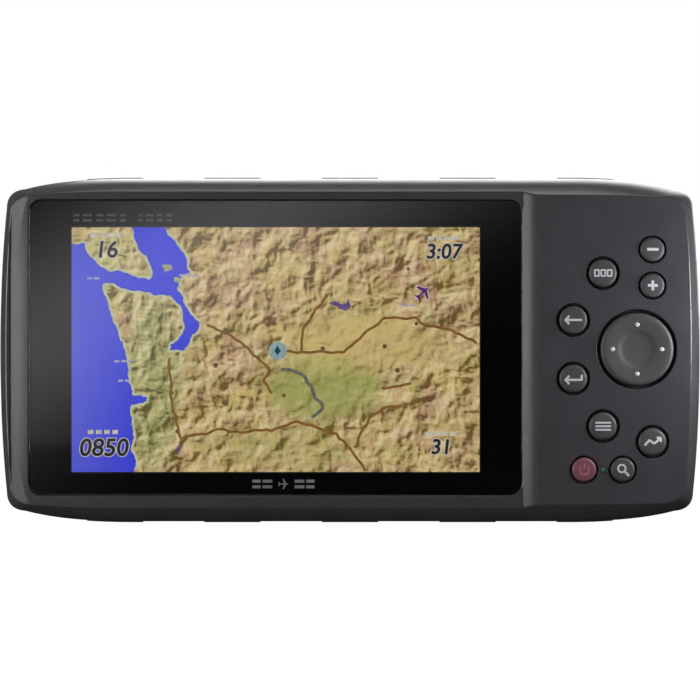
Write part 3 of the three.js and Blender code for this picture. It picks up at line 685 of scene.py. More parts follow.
def icon_strokes(kind):
    """[corners, width, closed] for each line of a key's picture."""
    return {
        "zoom_out": [([(-1.5, 0), (1.5, 0)], 0.75, False)],
        "zoom_in": [([(-1.3, 0), (1.3, 0)], 0.7, False), ([(0, -1.3), (0, 1.3)], 0.7, False)],
        "page": [([(x - .55, -.8), (x + .55, -.8), (x + .55, .8), (x - .55, .8)], 0.42, True)
                 for x in (-1.7, 0, 1.7)],
        "back": [([(-2.2, 0), (2.3, 0)], 0.6, False), ([(-1.1, 1.1), (-2.2, 0), (-1.1, -1.1)], 0.6, False)],
        "enter": [([(2.2, 1.0), (2.2, -.35), (-2.1, -.35)], 0.6, False),
                  ([(-1.1, .75), (-2.2, -.35), (-1.1, -1.45)], 0.6, False)],
        "menu": [([(-2.1, z), (2.1, z)], 0.48, False) for z in (-.95, 0, .95)],
        "navigate": [([(-2.2, -.9), (-.9, .5), (.4, -.4), (2.1, 1.1)], 0.6, False),
                     ([(1.0, 1.15), (2.15, 1.15), (2.15, 0)], 0.55, False)],
        "power": [(arc(1.25, 130, 410), 0.42, False), ([(0, .3), (0, 1.7)], 0.42, False)],
        "find": [(arc(1.0, 0, 342, -.35, .35), 0.5, True), ([(.4, -.4), (1.6, -1.6)], 0.62, False)],
    }[kind]


def key(node):
    """A key cap with a flange behind the face, and its raised picture."""
    middle, outer, front, back = turned_node(node)
    mouth = outer - 0.5
    radius = mouth - (0.8 if outer > 4.5 else 0.55)
    at = dome(front + 0.06, radius)
    steps = (0, .15, .3, .45, .6, .7, .8, .85, .9, .94, .97, .99, 1)
    flange = front + 3
    profile = [(radius * t, at(radius * t, 0)) for t in steps]
    profile += [(radius, flange - 0.3), (radius + 0.2, flange), (outer, flange), (outer, back), (0, back)]
    power = node == "key_power"
    make(
        node + "_cap", lathed(profile, middle.x, middle.z, 64), POWER_KEY if power else KEYS, node,
        [node])
    picture = Shape()
    for corners, width, closed in icon_strokes(node.replace("key_", "")):
        picture.join(stroke(corners, width, at, closed))
    picture.moved(middle.x, 0, middle.z)
    make(node + "_legend", picture, RED_LEGEND if power else LEGEND, node)


def rocker():
    """A ring-shaped four-way key with a dished middle, and the four dots on it."""
    middle, outer, top, back = turned_node("rocker_cap")
    radius = outer - 1.5
    dish = [
        (0, 0.88), (2, 0.86), (3.6, 0.8), (4.3, 0.7), (4.8, 0.48), (5.3, 0.36), (6.4, 0.24), (7.6, 0.1),
        (8.4, 0.03), (8.8, 0.03), (9.1, 0.08), (9.35, 0.2), (9.55, 0.4), (radius, 0.8),
    ]
    profile = [(r, top + depth) for r, depth in dish]
    profile += [(radius, back - 0.9), (radius + 0.3, back - 0.6), (radius + 0.7, back - 0.6),
                (radius + 0.7, back), (0, back)]
    make("rocker_dish", lathed(profile, middle.x, middle.z, 96), KEYS, "rocker", ["rocker_cap"])
    dots = Shape()
    for turn in range(4):
        x, z = 6.6 * math.cos(turn * math.pi / 2), 6.6 * math.sin(turn * math.pi / 2)
        bead = [(0, 0.02), (0.3, 0.05), (0.52, 0.13), (0.62, 0.25), (0.62, 0.5), (0, 0.5)]
        dots.join(lathed([(r, top + depth) for r, depth in bead], middle.x + x, middle.z + z, 20))
    make("rocker_dots", dots, LEGEND, "rocker")


def status_light():
    middle, radius, front, back = turned_node("status_light_pipe")
    nodes = Nodes("light_pipe")
    cloud = nodes.noise(0.5, detail=2)
    nodes.set(Base_Color=nodes.mix(cloud, srgb(38, 70, 62), srgb(64, 100, 88)))
    nodes.set(Roughness=nodes.span(cloud, 0.3, 0.7, 0.12, 0.25))
    profile = [(0, front), (radius * 0.5, front + 0.03), (radius * 0.85, front + 0.14)]
    profile += [(radius, front + 0.35), (radius, back), (0, back)]
    make("status_light", lathed(profile, middle.x, middle.z, 24), nodes.material, "housing",
         ["status_light_pipe"])


# ---- Glass and screen ----
SCREEN_W, SCREEN_H = 109.2, 65.5
EDGE_X, EDGE_Z = SCREEN_W / 2, SCREEN_H / 2
PANEL_MIDDLE = node_middle("display_panel")
PANEL_Y = node_box("display_panel")[0].y


def screen_rect(grow, corner, steps=8):
    """The lit part of the screen, made larger on every side."""
    x, z = PANEL_MIDDLE.x, PANEL_MIDDLE.z
    return round_rect(
        x - EDGE_X - grow, x + EDGE_X + grow, z - EDGE_Z - grow, z + EDGE_Z + grow, corner, steps)


def glass_material():
    nodes = Nodes("cover_glass")
    smears = nodes.noise(14, detail=3)
    nodes.set(Base_Color=srgb(250, 250, 250), Transmission_Weight=1.0, IOR=1.5)
    nodes.set(Roughness=nodes.span(smears, 0.3, 0.7, 0.015, 0.04))
    return nodes.material


def print_material():
    nodes = Nodes("black_print")
    ink = nodes.noise(0.8, detail=2)
    nodes.set(Base_Color=nodes.mix(ink, srgb(0.5, 0.5, 1), srgb(1, 1, 2)))
    nodes.set(Roughness=0.9, Specular_IOR_Level=0.0)
    return nodes.material


def cover_glass():
    """Touch glass with a black border printed behind it."""
    make("touch_glass", slab(GLASS_OUTLINE, GLASS_LOW.y, GLASS_HIGH.y, 0.2, 0.1), glass_material(),
         "housing", ["cover_glass"], 10)
    back = GLASS_HIGH.y
    near, far = back + 0.06, back + 0.28
    edge = [flat_ring(GLASS_OUTLINE(0.05), y) for y in (near, far)]
    inner = [flat_ring(screen_rect(0.4, 0.6)(), y) for y in (far, near)]
    make("glass_print", lofted(edge + inner, closed=True), print_material(), "housing",
         ["glass_adhesive"])
    glass_marks(back)


def placed(points, size, degrees, x, z):
    """Flat points made larger, turned and moved."""
    turn = math.radians(degrees)
    return [(x + size * (px * math.cos(turn) - pz * math.sin(turn)),
             z + size * (px * math.sin(turn) + pz * math.cos(turn))) for px, pz in points]


def glass_marks(back):
    """Plain marks where the names would be: an aircraft between bars, and a row of dashes."""
    depths = (level(back + 0.02), level(back + 0.05))
    bars = ((-5.1, 2.2), (-2.2, 2.6), (6.4, 2.6), (9.3, 2.2))
    dashes = ((-53.3, 1.6), (-50.4, 2.6), (-47.1, 2.0), (-44.0, 2.6), (-40.9, 1.6), (-36.2, 1.2),
              (-33.7, 2.0), (-31.0, 1.6), (-28.5, 1.4))
    plane = filled(on_screen(placed(PLANE, 0.62, -90, 2.1, -35.95)), *depths)
    for name, strokes, rows, width, extra, ink in (
        ("glass_mark", bars, (-36.7, -35.2), 0.8, plane, painted("glass_ink", srgb(196, 195, 198))),
        ("glass_dashes", dashes, (34.6, 36.0), 0.7, Shape(), painted("glass_ink_dim", srgb(120, 118, 122))),
    ):
        marks = Shape()
        for x, length in strokes:
            for z in rows:
                marks.join(ribbon(on_screen([(x - length / 2, z), (x + length / 2, z)]), width, *depths))
        make(name, marks.join(extra), ink, "housing")


def shining(nodes, color, strength=1.0):
    """A lit part of the screen: its colour comes from the backlight."""
    nodes.set(Base_Color=srgb(0, 0, 0), Emission_Color=color, Emission_Strength=strength, Roughness=0.6,
              Specular_IOR_Level=0.0)
    return nodes.material


def lit(name, dark, light, size=1.2):
    nodes = Nodes(name)
    return shining(nodes, nodes.mix(nodes.span(nodes.noise(size, detail=3), 0.35, 0.65), dark, light))


def blob(nodes, x, z, width, height):
    """1 in the middle of an ellipse on the screen, falling to 0 outside it."""
    middle_x, middle_z = (PANEL_MIDDLE.x + x) * MM, (PANEL_MIDDLE.z + MID_Z + z) * MM
    across = nodes.math("DIVIDE", nodes.math("SUBTRACT", nodes.axis(0), middle_x), width * MM)
    up = nodes.math("DIVIDE", nodes.math("SUBTRACT", nodes.axis(2), middle_z), height * MM)
    distance = nodes.math("ADD", nodes.math("MULTIPLY", across, across), nodes.math("MULTIPLY", up, up))
    return nodes.span(distance, 0.3, 1.6, 1, 0, smooth=True)


def relief_material():
    """Shaded hills: height is a mix of ridges, and light falls on it from the top left."""
    nodes = Nodes("map_relief")

    def height(dx, dz):
        vector = nodes.shifted(dx, dz)
        large = nodes.noise(8, detail=2, roughness=0.5, distortion=0.4, vector=vector)
        small = nodes.noise(3.4, detail=4, roughness=0.55, distortion=0.5, vector=vector)
        return nodes.math("ADD", nodes.math("MULTIPLY", large, 1.8), small)

    slope = nodes.math("SUBTRACT", height(0, 0), height(-0.6, 0.6))
    flat_west = blob(nodes, -33, -8, 8, 26)
    basin = blob(nodes, 13, -10, 17, 9)
    plain = blob(nodes, 22, 2, 22, 8)
    south = blob(nodes, 2, -26, 20, 6)
    north_west = blob(nodes, -46, 22, 11, 12)
    calm = nodes.math("MAXIMUM", nodes.math("MAXIMUM", basin, plain), nodes.math("MULTIPLY", south, 0.6))
    rough = nodes.span(calm, 0, 1, 1, 0.35)
    shade = nodes.math("MULTIPLY", slope, rough)
    patches = nodes.noise(7, detail=3, distortion=0.8)
    land = nodes.mix(nodes.span(patches, 0.38, 0.62), srgb(186, 158, 114), srgb(202, 176, 116))
    pinks = nodes.span(nodes.noise(11, detail=3, vector=nodes.shifted(40, 11)), 0.48, 0.6)
    greens = nodes.span(nodes.noise(6, detail=4, vector=nodes.shifted(-9, 30)), 0.46, 0.6)
    for mask, amount, color in (
        (pinks, 0.75, (184, 148, 116)), (greens, 0.4, (160, 160, 88)), (flat_west, 0.8, (156, 160, 100)),
        (south, 0.5, (178, 172, 104)), (basin, 0.9, (158, 160, 90)), (plain, 0.6, (206, 186, 118)),
        (north_west, 0.6, (186, 184, 124)),
    ):
        land = nodes.mix(nodes.math("MULTIPLY", mask, amount), land, srgb(*color))
    shadow = nodes.mix(1.0, land, srgb(150, 138, 118), "MULTIPLY")
    light = nodes.mix(0.55, land, srgb(236, 220, 176))
    color = nodes.mix(nodes.span(shade, -0.16, 0.0), shadow, land)
    color = nodes.mix(nodes.span(shade, 0.02, 0.18), color, light)
    return shining(nodes, color)


def on_screen(points):
    """Moves points from the middle of the screen to the middle of the case."""
    return [(PANEL_MIDDLE.x + x, PANEL_MIDDLE.z + z) for x, z in points]


def crinkled(points, size, depth=4):
    """A closed outline whose sides are broken up like a coast. Corners on the edge of the screen stay put."""
    if depth == 0:
        return points
    line = []
    for (ax, az), (bx, bz) in zip(points, points[1:] + points[:1]):
        line.append((ax, az))
        length = math.hypot(bx - ax, bz - az)
        side = all(abs(x) > EDGE_X - 0.1 or abs(z) > EDGE_Z - 0.1 for x, z in ((ax, az), (bx, bz)))
        if length > 0.7 and not side:
            push = rng.uniform(-1, 1) * size * length
            middle_x, middle_z = (ax + bx) / 2, (az + bz) / 2
            line.append((middle_x - (bz - az) / length * push, middle_z + (bx - ax) / length * push))
    return crinkled(line, size, depth - 1)


PLANE = [
    (0, 2.3), (.35, 1.2), (2.2, .1), (2.2, -.35), (.3, .15), (.25, -1.4), (.9, -2.0), (.9, -2.3), (0, -2.0),
    (-.9, -2.3), (-.9, -2.0), (-.25, -1.4), (-.3, .15), (-2.2, -.35), (-2.2, .1), (-.35, 1.2),
]


def inland_runs(outline):
    """The stretches of a closed outline that are not on the edge of the screen."""
    runs, run = [], []
    for x, z in outline:
        if abs(x) > EDGE_X - 0.8 or abs(z) > EDGE_Z - 0.8:
            runs.append(run)
            run = []
        else:
            run.append((x, z))
    return [run for run in runs + [run] if len(run) > 2]


rng = random.Random(7)
SEA = [
    (-EDGE_X, 28.3), (-50.9, 28.5), (-49.7, 24.9), (-47.2, 22.6), (-42.6, 21.2), (-38.5, 19.9),
    (-33.9, 18.7), (-32.8, 20.8), (-33.9, 23.5), (-36.2, 26.3), (-38, 29.9), (-38.7, EDGE_Z),
    (-29.8, EDGE_Z), (-27.5, 29.5), (-25.7, 27.2), (-23.9, 24.4), (-22.9, 20.8), (-25.7, 18.5),
    (-26.4, 15.9), (-24.3, 12), (-22.6, 9.3), (-20.6, 7.6), (-21.1, 4.8), (-22.9, 2.9),
    (-24.8, -.3), (-28.4, -.3), (-28, 1.6), (-25.7, 3.4), (-24.3, 6.1), (-24.8, 9.3), (-26.1, 12.2),
    (-28.4, 14.6), (-33.9, 15.3), (-38.5, 15.7), (-42.6, 17.1), (-45.4, 17.9), (-46.4, 17.2),
    (-46, 14.8), (-44.4, 10.7), (-42.6, 6.1), (-40.8, 1.6), (-39.9, -2.1), (-39.4, -5.3),
    (-38.7, -9.9), (-38.3, -12.2), (-34.4, -12.7), (-34.6, -13.8), (-38.7, -14.9), (-38.3, -21.3),
    (-38.5, -25.4), (-38, -EDGE_Z), (-EDGE_X, -EDGE_Z),
]
ISLANDS = [
    [(-30.6, 22.6), (-28.2, 22.9), (-27.6, 21.3), (-29.8, 20.6)],
    [(-27.3, 19.4), (-25.4, 19.2), (-25.8, 17.9), (-27.2, 18.2)],
]
LAKES = [
    [(14.3, 12.4), (16.2, 12.9), (18.6, 12.2), (19.6, 13.8), (20.2, 11.6), (18.9, 10.3), (16.9, 10.9)],
    [(-26.6, -26.6), (-26.1, -25.6), (-25.6, -26.4), (-26.0, -28.2)],
]
ROADS = [
    [(-18.4, 6.6), (-12.9, 4.3), (-7.4, .2), (-3.7, -3), (-1.45, -5.8), (-3.3, -8.5), (-1, -11.7)],
    [(-28.4, -2.2), (-28.4, -6.2), (-27.5, -9), (-28, -12.2), (-27.8, -15.4), (-26.6, -18.6), (-26.2, -21.8),
     (-24.8, -24.5)],
    [(-24.8, -23.6), (-19.7, -22.7), (-14.7, -21.3), (-9.7, -22.2), (-5.1, -21.3), (-1.3, -21.8), (5.6, -19),
     (12.4, -21.3), (16.1, -22.7), (20.2, -26.8), (22, -29.2), (23.9, -EDGE_Z + .3)],
    [(.9, -.6), (17.9, -.7), (28.9, 8.2), (37.6, 8.6), (39.9, 6.6), (47, 5.4), (53.8, 1.6)],
    [(6.9, -.6), (7.4, 5.5), (11.1, 11.2), (13.8, 14.4)],
    [(21.1, -26.3), (23.4, -20.9), (26.2, -17.2), (28.9, -15.8), (33.5, -14.9)],
    [(28.4, -10.3), (33, -9.9), (36.2, -9)],
]
RIVERS = [
    [(1.4, -5.3), (6.9, -6.2), (9.7, -9.9), (10.6, -13.1), (12.9, -15.4), (9.7, -18.1)],
]


def smoothed(points, rounds=3):
    """Rounds the corners of an open line."""
    for _ in range(rounds):
        line = [points[0]]
        for (ax, az), (bx, bz) in zip(points, points[1:]):
            line += [(ax * (1 - t) + bx * t, az * (1 - t) + bz * t) for t in (0.25, 0.75)]
        points = line + [points[-1]]
    return points


def wandering(points, reach):
    """A line with small random bends between its ends."""
    return [points[0]] + [(x + rng.uniform(-reach, reach), z + rng.uniform(-reach, reach))
                          for x, z in resampled(points, 1.6)[1:-1]] + [points[-1]]


def lettered(text, size, thick):
    """Thin digits about their middle, each stroke made thicker by a distance."""
    curve = bpy.data.curves.new("digits", "FONT")
    curve.body = text
    curve.size = size
    curve.offset = thick
    curve.shear = 0.12
    curve.align_x = "CENTER"
    curve.align_y = "CENTER"
    curve.resolution_u = 4
    curve.extrude = 0.02
    holder = bpy.data.objects.new("digits", curve)
    bpy.context.scene.collection.objects.link(holder)
    bpy.context.view_layer.update()
    mesh = bpy.data.meshes.new_from_object(holder.evaluated_get(bpy.context.evaluated_depsgraph_get()))
    bpy.data.objects.remove(holder)
    shape = Shape()
    shape.points = [(v.co.x, -v.co.z, v.co.y) for v in mesh.vertices]
    shape.faces = [tuple(face.vertices) for face in mesh.polygons]
    return shape


MAP_Y = PANEL_Y - 0.02
THIN = (level(-0.01), level(0.01))


def map_layer(name, shapes, material, depth):
    """A thin lit layer in front of the map's relief."""
    whole = Shape()
    for shape in shapes:
        whole.join(shape)
    make(name, whole.moved(y=MAP_Y - depth), material, "housing")


def lit_layer(name, shapes, dark, light, depth):
    map_layer(name, shapes, lit(name, srgb(*dark), srgb(*light)), depth)


def patches(outlines, size=0.0, depth=0):
    """Flat patches inside outlines, with their sides broken up like a coast."""
    return [filled(on_screen(crinkled(outline, size, depth)), *THIN) for outline in outlines]


def lines(paths, width):
    return [ribbon(on_screen(path), width, *THIN) for path in paths]


def dash_row(x, z, count, pitch, length):
    return [[(x + pitch * i, z), (x + pitch * i + length, z)] for i in range(count)]


def screen_map():
    plate = slab(screen_rect(0, 0.3, 2), MAP_Y, PANEL_Y + 0.03)
    make("map_relief", plate, relief_material(), "housing")
    coast = crinkled(SEA, 0.16)
    lakes = patches(LAKES, 0.12, 2)
    islands = patches(ISLANDS, 0.2, 3)
    roads = lines([smoothed(wandering(road, 0.35)) for road in ROADS], 0.72)
    rivers = lines([smoothed(wandering(river, 0.4)) for river in RIVERS], 0.9)
    lit_layer("map_shore", lines(inland_runs(coast), 1.3), (168, 176, 132), (196, 196, 160), 0.01)
    map_layer("map_sea", patches([coast]), sea_material(), 0.035)
    lit_layer("map_lakes", lakes, (84, 66, 120), (106, 84, 132), 0.035)
    lit_layer("map_islands", islands, (150, 148, 112), (180, 172, 130), 0.06)
    lit_layer("map_rivers", rivers, (92, 92, 92), (112, 110, 100), 0.06)
    lit_layer("map_roads", roads, (112, 78, 36), (138, 98, 50), 0.09)
    readouts()
    map_marks()


def sea_material():
    """Water that is a little greyer at the left of the screen."""
    nodes = Nodes("map_sea")
    clouds = nodes.noise(6, detail=4, distortion=0.5)
    across = nodes.span(nodes.axis(0), (PANEL_MIDDLE.x - EDGE_X) * MM, (PANEL_MIDDLE.x - 38) * MM, 0, 1)
    deep = nodes.mix(across, srgb(86, 92, 206), srgb(58, 62, 208))
    color = nodes.mix(nodes.span(clouds, 0.35, 0.65, 0, 0.35), deep, srgb(74, 84, 216))
    return shining(nodes, color)


def readouts():
    """A number in each corner of the screen, on a pale halo, with a row of dashes for its label."""
    halos, digits, labels = [], [], []
    for text, x, z, size in (("16", -45.4, 26.6, 6.2), ("3:07", 44.9, 26.1, 5.6), ("0850", -46.1, -26.4, 6.6),
                             ("31", 44.2, -26.2, 5.6)):
        for layer, thick in ((halos, 0.34), (digits, 0.12)):
            layer.append(lettered(text, size, thick).moved(PANEL_MIDDLE.x + x, 0, PANEL_MIDDLE.z + z))
        labels += lines(dash_row(x - 4.2, z + size * 0.66, 4, 2.2, 1.5), 1.1)
    pale = (176, 172, 160), (202, 198, 186)
    lit_layer("map_halos", halos, *pale, 0.12)
    lit_layer("map_digits", digits, (34, 34, 44), (46, 44, 52), 0.18)
    lit_layer("map_labels", labels, *pale, 0.15)


def map_marks():
    """The place mark, the small aircraft, towns, and dashes where place names would be."""
    ring = patches([circle(2.4, 0.6, -.3, 40)()])
    dot = patches([[(0.5, 1.1), (1.4, -.3), (0.5, -1.5), (-.4, -.3)]])
    lit_layer("map_place_ring", ring, (120, 150, 156), (150, 170, 170), 0.15)
    lit_layer("map_place", dot, (14, 52, 66), (22, 66, 78), 0.2)
    glow, plane = (patches([placed(PLANE, size, -48, 39.4, 15.3)]) for size in (1.22, 1))
    lit_layer("map_plane_glow", glow, (190, 160, 170), (205, 178, 182), 0.15)
    lit_layer("map_plane", plane, (72, 36, 108), (88, 48, 122), 0.2)
    places = ((29.2, .9), (32.6, -5.5), (12.6, .3), (2.2, -12.3), (-16.1, -4.2), (-13.4, -14.3), (37.7, 7.0),
              (35.5, 21.6), (-27.9, -11.6), (-26.3, -21.9))
    towns = patches([circle(rng.uniform(0.45, 0.8), x, z, 14)() for x, z in places])
    lit_layer("map_towns", towns, (96, 74, 52), (120, 92, 62), 0.12)
    names = []
    for x, z in ((-43.2, -3.1), (-42.2, -8.3), (-50.5, 19.1), (-25.8, 19.9), (34.0, 11.9)):
        names += lines(dash_row(x, z, rng.choice((2, 3)), 1.9, 1.4), 0.6)
    lit_layer("map_names", names, (140, 140, 176), (170, 170, 196), 0.15)


# ---- Rear of the case ----
GRIP_LOW, GRIP_HIGH = node_box("grip_band")
BACK_LOW, BACK_HIGH = node_box("rear_case")
PAD_PITCH, PAD_WIDTH, PAD_COUNT = 32.2, 16.0, 5
REAR_Y = 14.0
HUMP = {"x0": -70.5, "x1": 44.5, "z": 34.0}
COVER_LOW, COVER_HIGH = node_box("battery_cover")
COVER_X = (COVER_LOW.x + COVER_HIGH.x) / 2
SHELF_Y = COVER_HIGH.y - 3.7


def ramp(value, low, high):
    t = min(max((value - low) / (high - low), 0), 1)
    return t * t * (3 - 2 * t)


def pad_cover(x, edge=0.45):
    """How far an x is onto one of the grip pads, from 0 to 1."""
    nearest = round(x / PAD_PITCH)
    if abs(nearest) > PAD_COUNT // 2:
        return 0.0
    return 1 - ramp(abs(x - nearest * PAD_PITCH), PAD_WIDTH / 2 - edge, PAD_WIDTH / 2)


def split_plan(outline, cuts):
    """[segment, fraction] of each point of an outline, with extra ones where it crosses these x positions."""
    plan = []
    for i, ((ax, az), (bx, bz)) in enumerate(zip(outline, outline[1:] + outline[:1])):
        inner = []
        if abs(bz - az) < abs(bx - ax):
            inner = [(x - ax) / (bx - ax) for x in cuts if min(ax, bx) + 0.02 < x < max(ax, bx) - 0.02]
        plan += [(i, fraction) for fraction in [0] + sorted(inner)]
    return plan


def planned(outline, plan):
    points = []
    for i, fraction in plan:
        (ax, az), (bx, bz) = outline[i], outline[(i + 1) % len(outline)]
        points.append((ax + (bx - ax) * fraction, az + (bz - az) * fraction))
    return points


def grip_sleeve():
    """Rubber sleeve round the middle of the case, with ribbed pads along its top and bottom."""
    cuts = []
    for column in range(-(PAD_COUNT // 2), PAD_COUNT // 2 + 1):
        for side in (-1, 1):
            for step in (-0.05, 0, 0.1, 0.22, 0.34, 0.45, 0.6, 1.0, 1.3):
                cuts.append(column * PAD_PITCH + side * (PAD_WIDTH / 2 - step))
    plan = split_plan(inset_outline(0), cuts)
    base = planned(inset_outline(0), plan)
    low, high = GRIP_LOW.y, GRIP_HIGH.y
    ribs = [low + 3.1 + 2.6 * i for i in range(4)]
    rows = [low, low + .08, low + .25, low + .5, low + .75, low + 1.0, low + 1.3]
    for rib in ribs:
        rows += [rib - .45, rib - .3, rib - .15, rib + .15, rib + .3, rib + .45]
    rows += [high - 1.3, high - 1.0, high - .75, high - .5, high - .25, high - .08, high]
    outer = []
    for y in rows:
        end = min(y - low, high - y)
        inset = 0.35 * (1 - math.sqrt(1 - (1 - min(end / 0.35, 1)) ** 2))
        nearest = min(abs(y - rib) for rib in ribs)
        sunk = 1 - ramp(nearest, 0.15, 0.45)
        ring = []
        for (x, z), (at, _) in zip(planned(inset_outline(inset), plan), base):
            pad = pad_cover(at) if abs(z) > 38 else 0
            raised = 0.5 * pad * ramp(end, 0.5, 1.0)
            off_middle = abs(at - round(at / PAD_PITCH) * PAD_PITCH)
            groove = 0.28 * sunk * (1 - ramp(off_middle, 6.7, 7.1)) * (pad > 0)
            ring.append((x, y, z + math.copysign(raised - groove, z) if pad else z))
        outer.append(ring)
    inner = [flat_ring(planned(inset_outline(1.7), plan), y) for y in (high, low)]
    sleeve = lofted(outer + inner, closed=True)
    make("grip_sleeve", sleeve, RUBBER, "housing", ["grip_band"], 40)


def hump_outline(grow):
    return round_rect(HUMP["x0"] - grow, HUMP["x1"] + grow, -HUMP["z"] - grow, HUMP["z"] + grow, 7 + grow)(0)


def case_rows(*rows):
    """A solid of the case's outline, from [y, inset] rows."""
    return stacked(inset_outline, [(inset, y) for y, inset in rows])


def block(x0, x1, y0, y1, z0, z1, corner=0.6):
    return slab(round_rect(x0, x1, z0, z1, corner, 3), y0, y1)


def well(radius, x, z, floor, top, edge=0.2, steps=48):
    """A cutter for a round well that opens backwards, with a small rounded edge at its mouth."""
    profile = [(0, floor), (radius - 0.15, floor), (radius, floor + 0.15)]
    profile += [(radius + edge * rise, top - edge * fall) for fall, rise in quarter()]
    outer = radius + edge * 1.6
    return lathed(profile + [(outer, top + edge * 0.6), (outer, top + 4), (0, top + 4)], x, z, steps)


def opening(outline, floor, top, edge=0.25):
    """A cutter for a flat-floored opening that opens backwards, with a rounded edge."""
    rows = [(0, floor)] + [(-edge * rise, top - edge * fall) for fall, rise in quarter()]
    return stacked(outline, rows + [(-edge * 1.6, top + edge * 0.6), (-edge * 1.6, top + 6)])


LATCH_X = [node_middle("latch_stud_left").x, node_middle("latch_stud_right").x]
SCREWS = [node_middle(f"case_screw_{i}") for i in range(1, 9)]
DOCK_LOW, DOCK_HIGH = node_box("dock_contact_block")
PORT_BAY = {"x0": 57.0, "x1": 79.0, "z0": 9.0, "z1": 23.0, "floor": 3.0}
PACK_LOW, PACK_HIGH = node_box("battery_pack")


def rear_shell():
    """Rear case: rounded back, battery hump and well, port bay, dock opening, vent and screw wells."""
    low = BACK_LOW.y
    body = case_rows(
        (low, 1.9), (8.5, 1.9), (8.55, .62), (8.62, .5), (8.8, .42), (9.6, .6), (10.6, 1.15), (11.5, 2.1),
        (12.3, 3.3), (13.0, 4.9), (13.5, 6.5), (13.85, 8.3), (REAR_Y, 10))
    piece = make("rear_shell", body, CASE, replaces=["rear_case"])
    rim = BACK_HIGH.y
    rows = [(REAR_Y - 1.5, 4.2), (REAR_Y + 0.02, 4.1), (REAR_Y + 0.12, 3.6), (REAR_Y + 0.35, 3.2),
            (REAR_Y + 0.8, 2.8), (REAR_Y + 1.5, 2.4), (rim - 1, 0)]
    rows += [(rim - 1 + math.sin(t), -1 + math.cos(t)) for t in (math.pi / 2 * i / 5 for i in range(1, 6))]
    combine(piece, [lofted([flat_ring(hump_outline(grow), y) for y, grow in rows])], "UNION")
    cavity = case_rows((low - 1, 4.6), (8.3, 4.6), (11.4, 9))
    hump_cavity = slab(round_rect(HUMP["x0"] + 1, HUMP["x1"] - 1, -HUMP["z"] + 1, HUMP["z"] - 1, 5),
                       8, SHELF_Y - 1.6)
    combine(piece, [cavity, hump_cavity], "DIFFERENCE")
    bay = round_rect(PACK_LOW.x - 0.5, PACK_HIGH.x + 0.5, PACK_LOW.z - 0.5, PACK_HIGH.z + 0.5, 2.2)
    tubs = [slab(lambda inset: bay(-1.5), PACK_LOW.y - 2.3, SHELF_Y - 1)]
    tubs += [block(-42, -6, -3.2, 1, -15, 15)]
    tubs += [lathed([(0, 11.5), (11.1, 11.5), (11.1, SHELF_Y), (0, SHELF_Y)], x) for x in LATCH_X]
    port = round_rect(PORT_BAY["x0"], PORT_BAY["x1"], PORT_BAY["z0"], PORT_BAY["z1"], 2)
    tubs += [slab(lambda inset: port(-1.6), PORT_BAY["floor"] - 1.6, 13)]
    tubs += [lathed([(0, low), (3.6, low), (3.6, 9), (0, 9)], at.x, at.z, 24) for at in SCREWS]
    combine(piece, tubs, "UNION")
    seat = round_rect(COVER_LOW.x - 0.3, COVER_HIGH.x + 0.3, COVER_LOW.z - 0.3, COVER_HIGH.z + 0.3, 5)
    cuts = [opening(bay, PACK_LOW.y - 0.5, SHELF_Y, 0.4), block(-40.4, -7.6, -1.6, 3, -13.4, 13.4)]
    cuts += [block(3, 15, -2, 3, -22, -8), opening(seat, SHELF_Y, rim, 0.3)]
    cuts += [well(10.1, x, 0, 16.9, SHELF_Y, 0.3) for x in LATCH_X]
    cuts += [well(5.9, x, 0, 12.8, 16.9, 0.2, 32) for x in LATCH_X]
    cuts += [opening(port, PORT_BAY["floor"], REAR_Y, 0.35)]
    cuts += [block(60.4, 69.2, 0, 4, 13.2, 18.8), well(3.1, 74, 16, 0, 3, 0.2, 32)]
    dock = round_rect(DOCK_LOW.x + 1.1, DOCK_HIGH.x - 1.1, DOCK_LOW.z + 1.1, DOCK_HIGH.z - 1.1, 0.8)
    cuts += [opening(dock, 8, REAR_Y, 0.3)]
    vent = node_middle("vent_membrane")
    cuts += [well(1.1, vent.x, vent.z, 8, REAR_Y, 0.15, 24)]
    cuts += [well(1.45, at.x, at.z, low - 1, 6, 0.02, 24) for at in SCREWS]
    cuts += [lathed([(0, 5), (2.8, 5), (2.8, 30), (0, 30)], at.x, at.z, 32) for at in SCREWS]
    combine(piece, cuts, "DIFFERENCE")
    finished(piece)


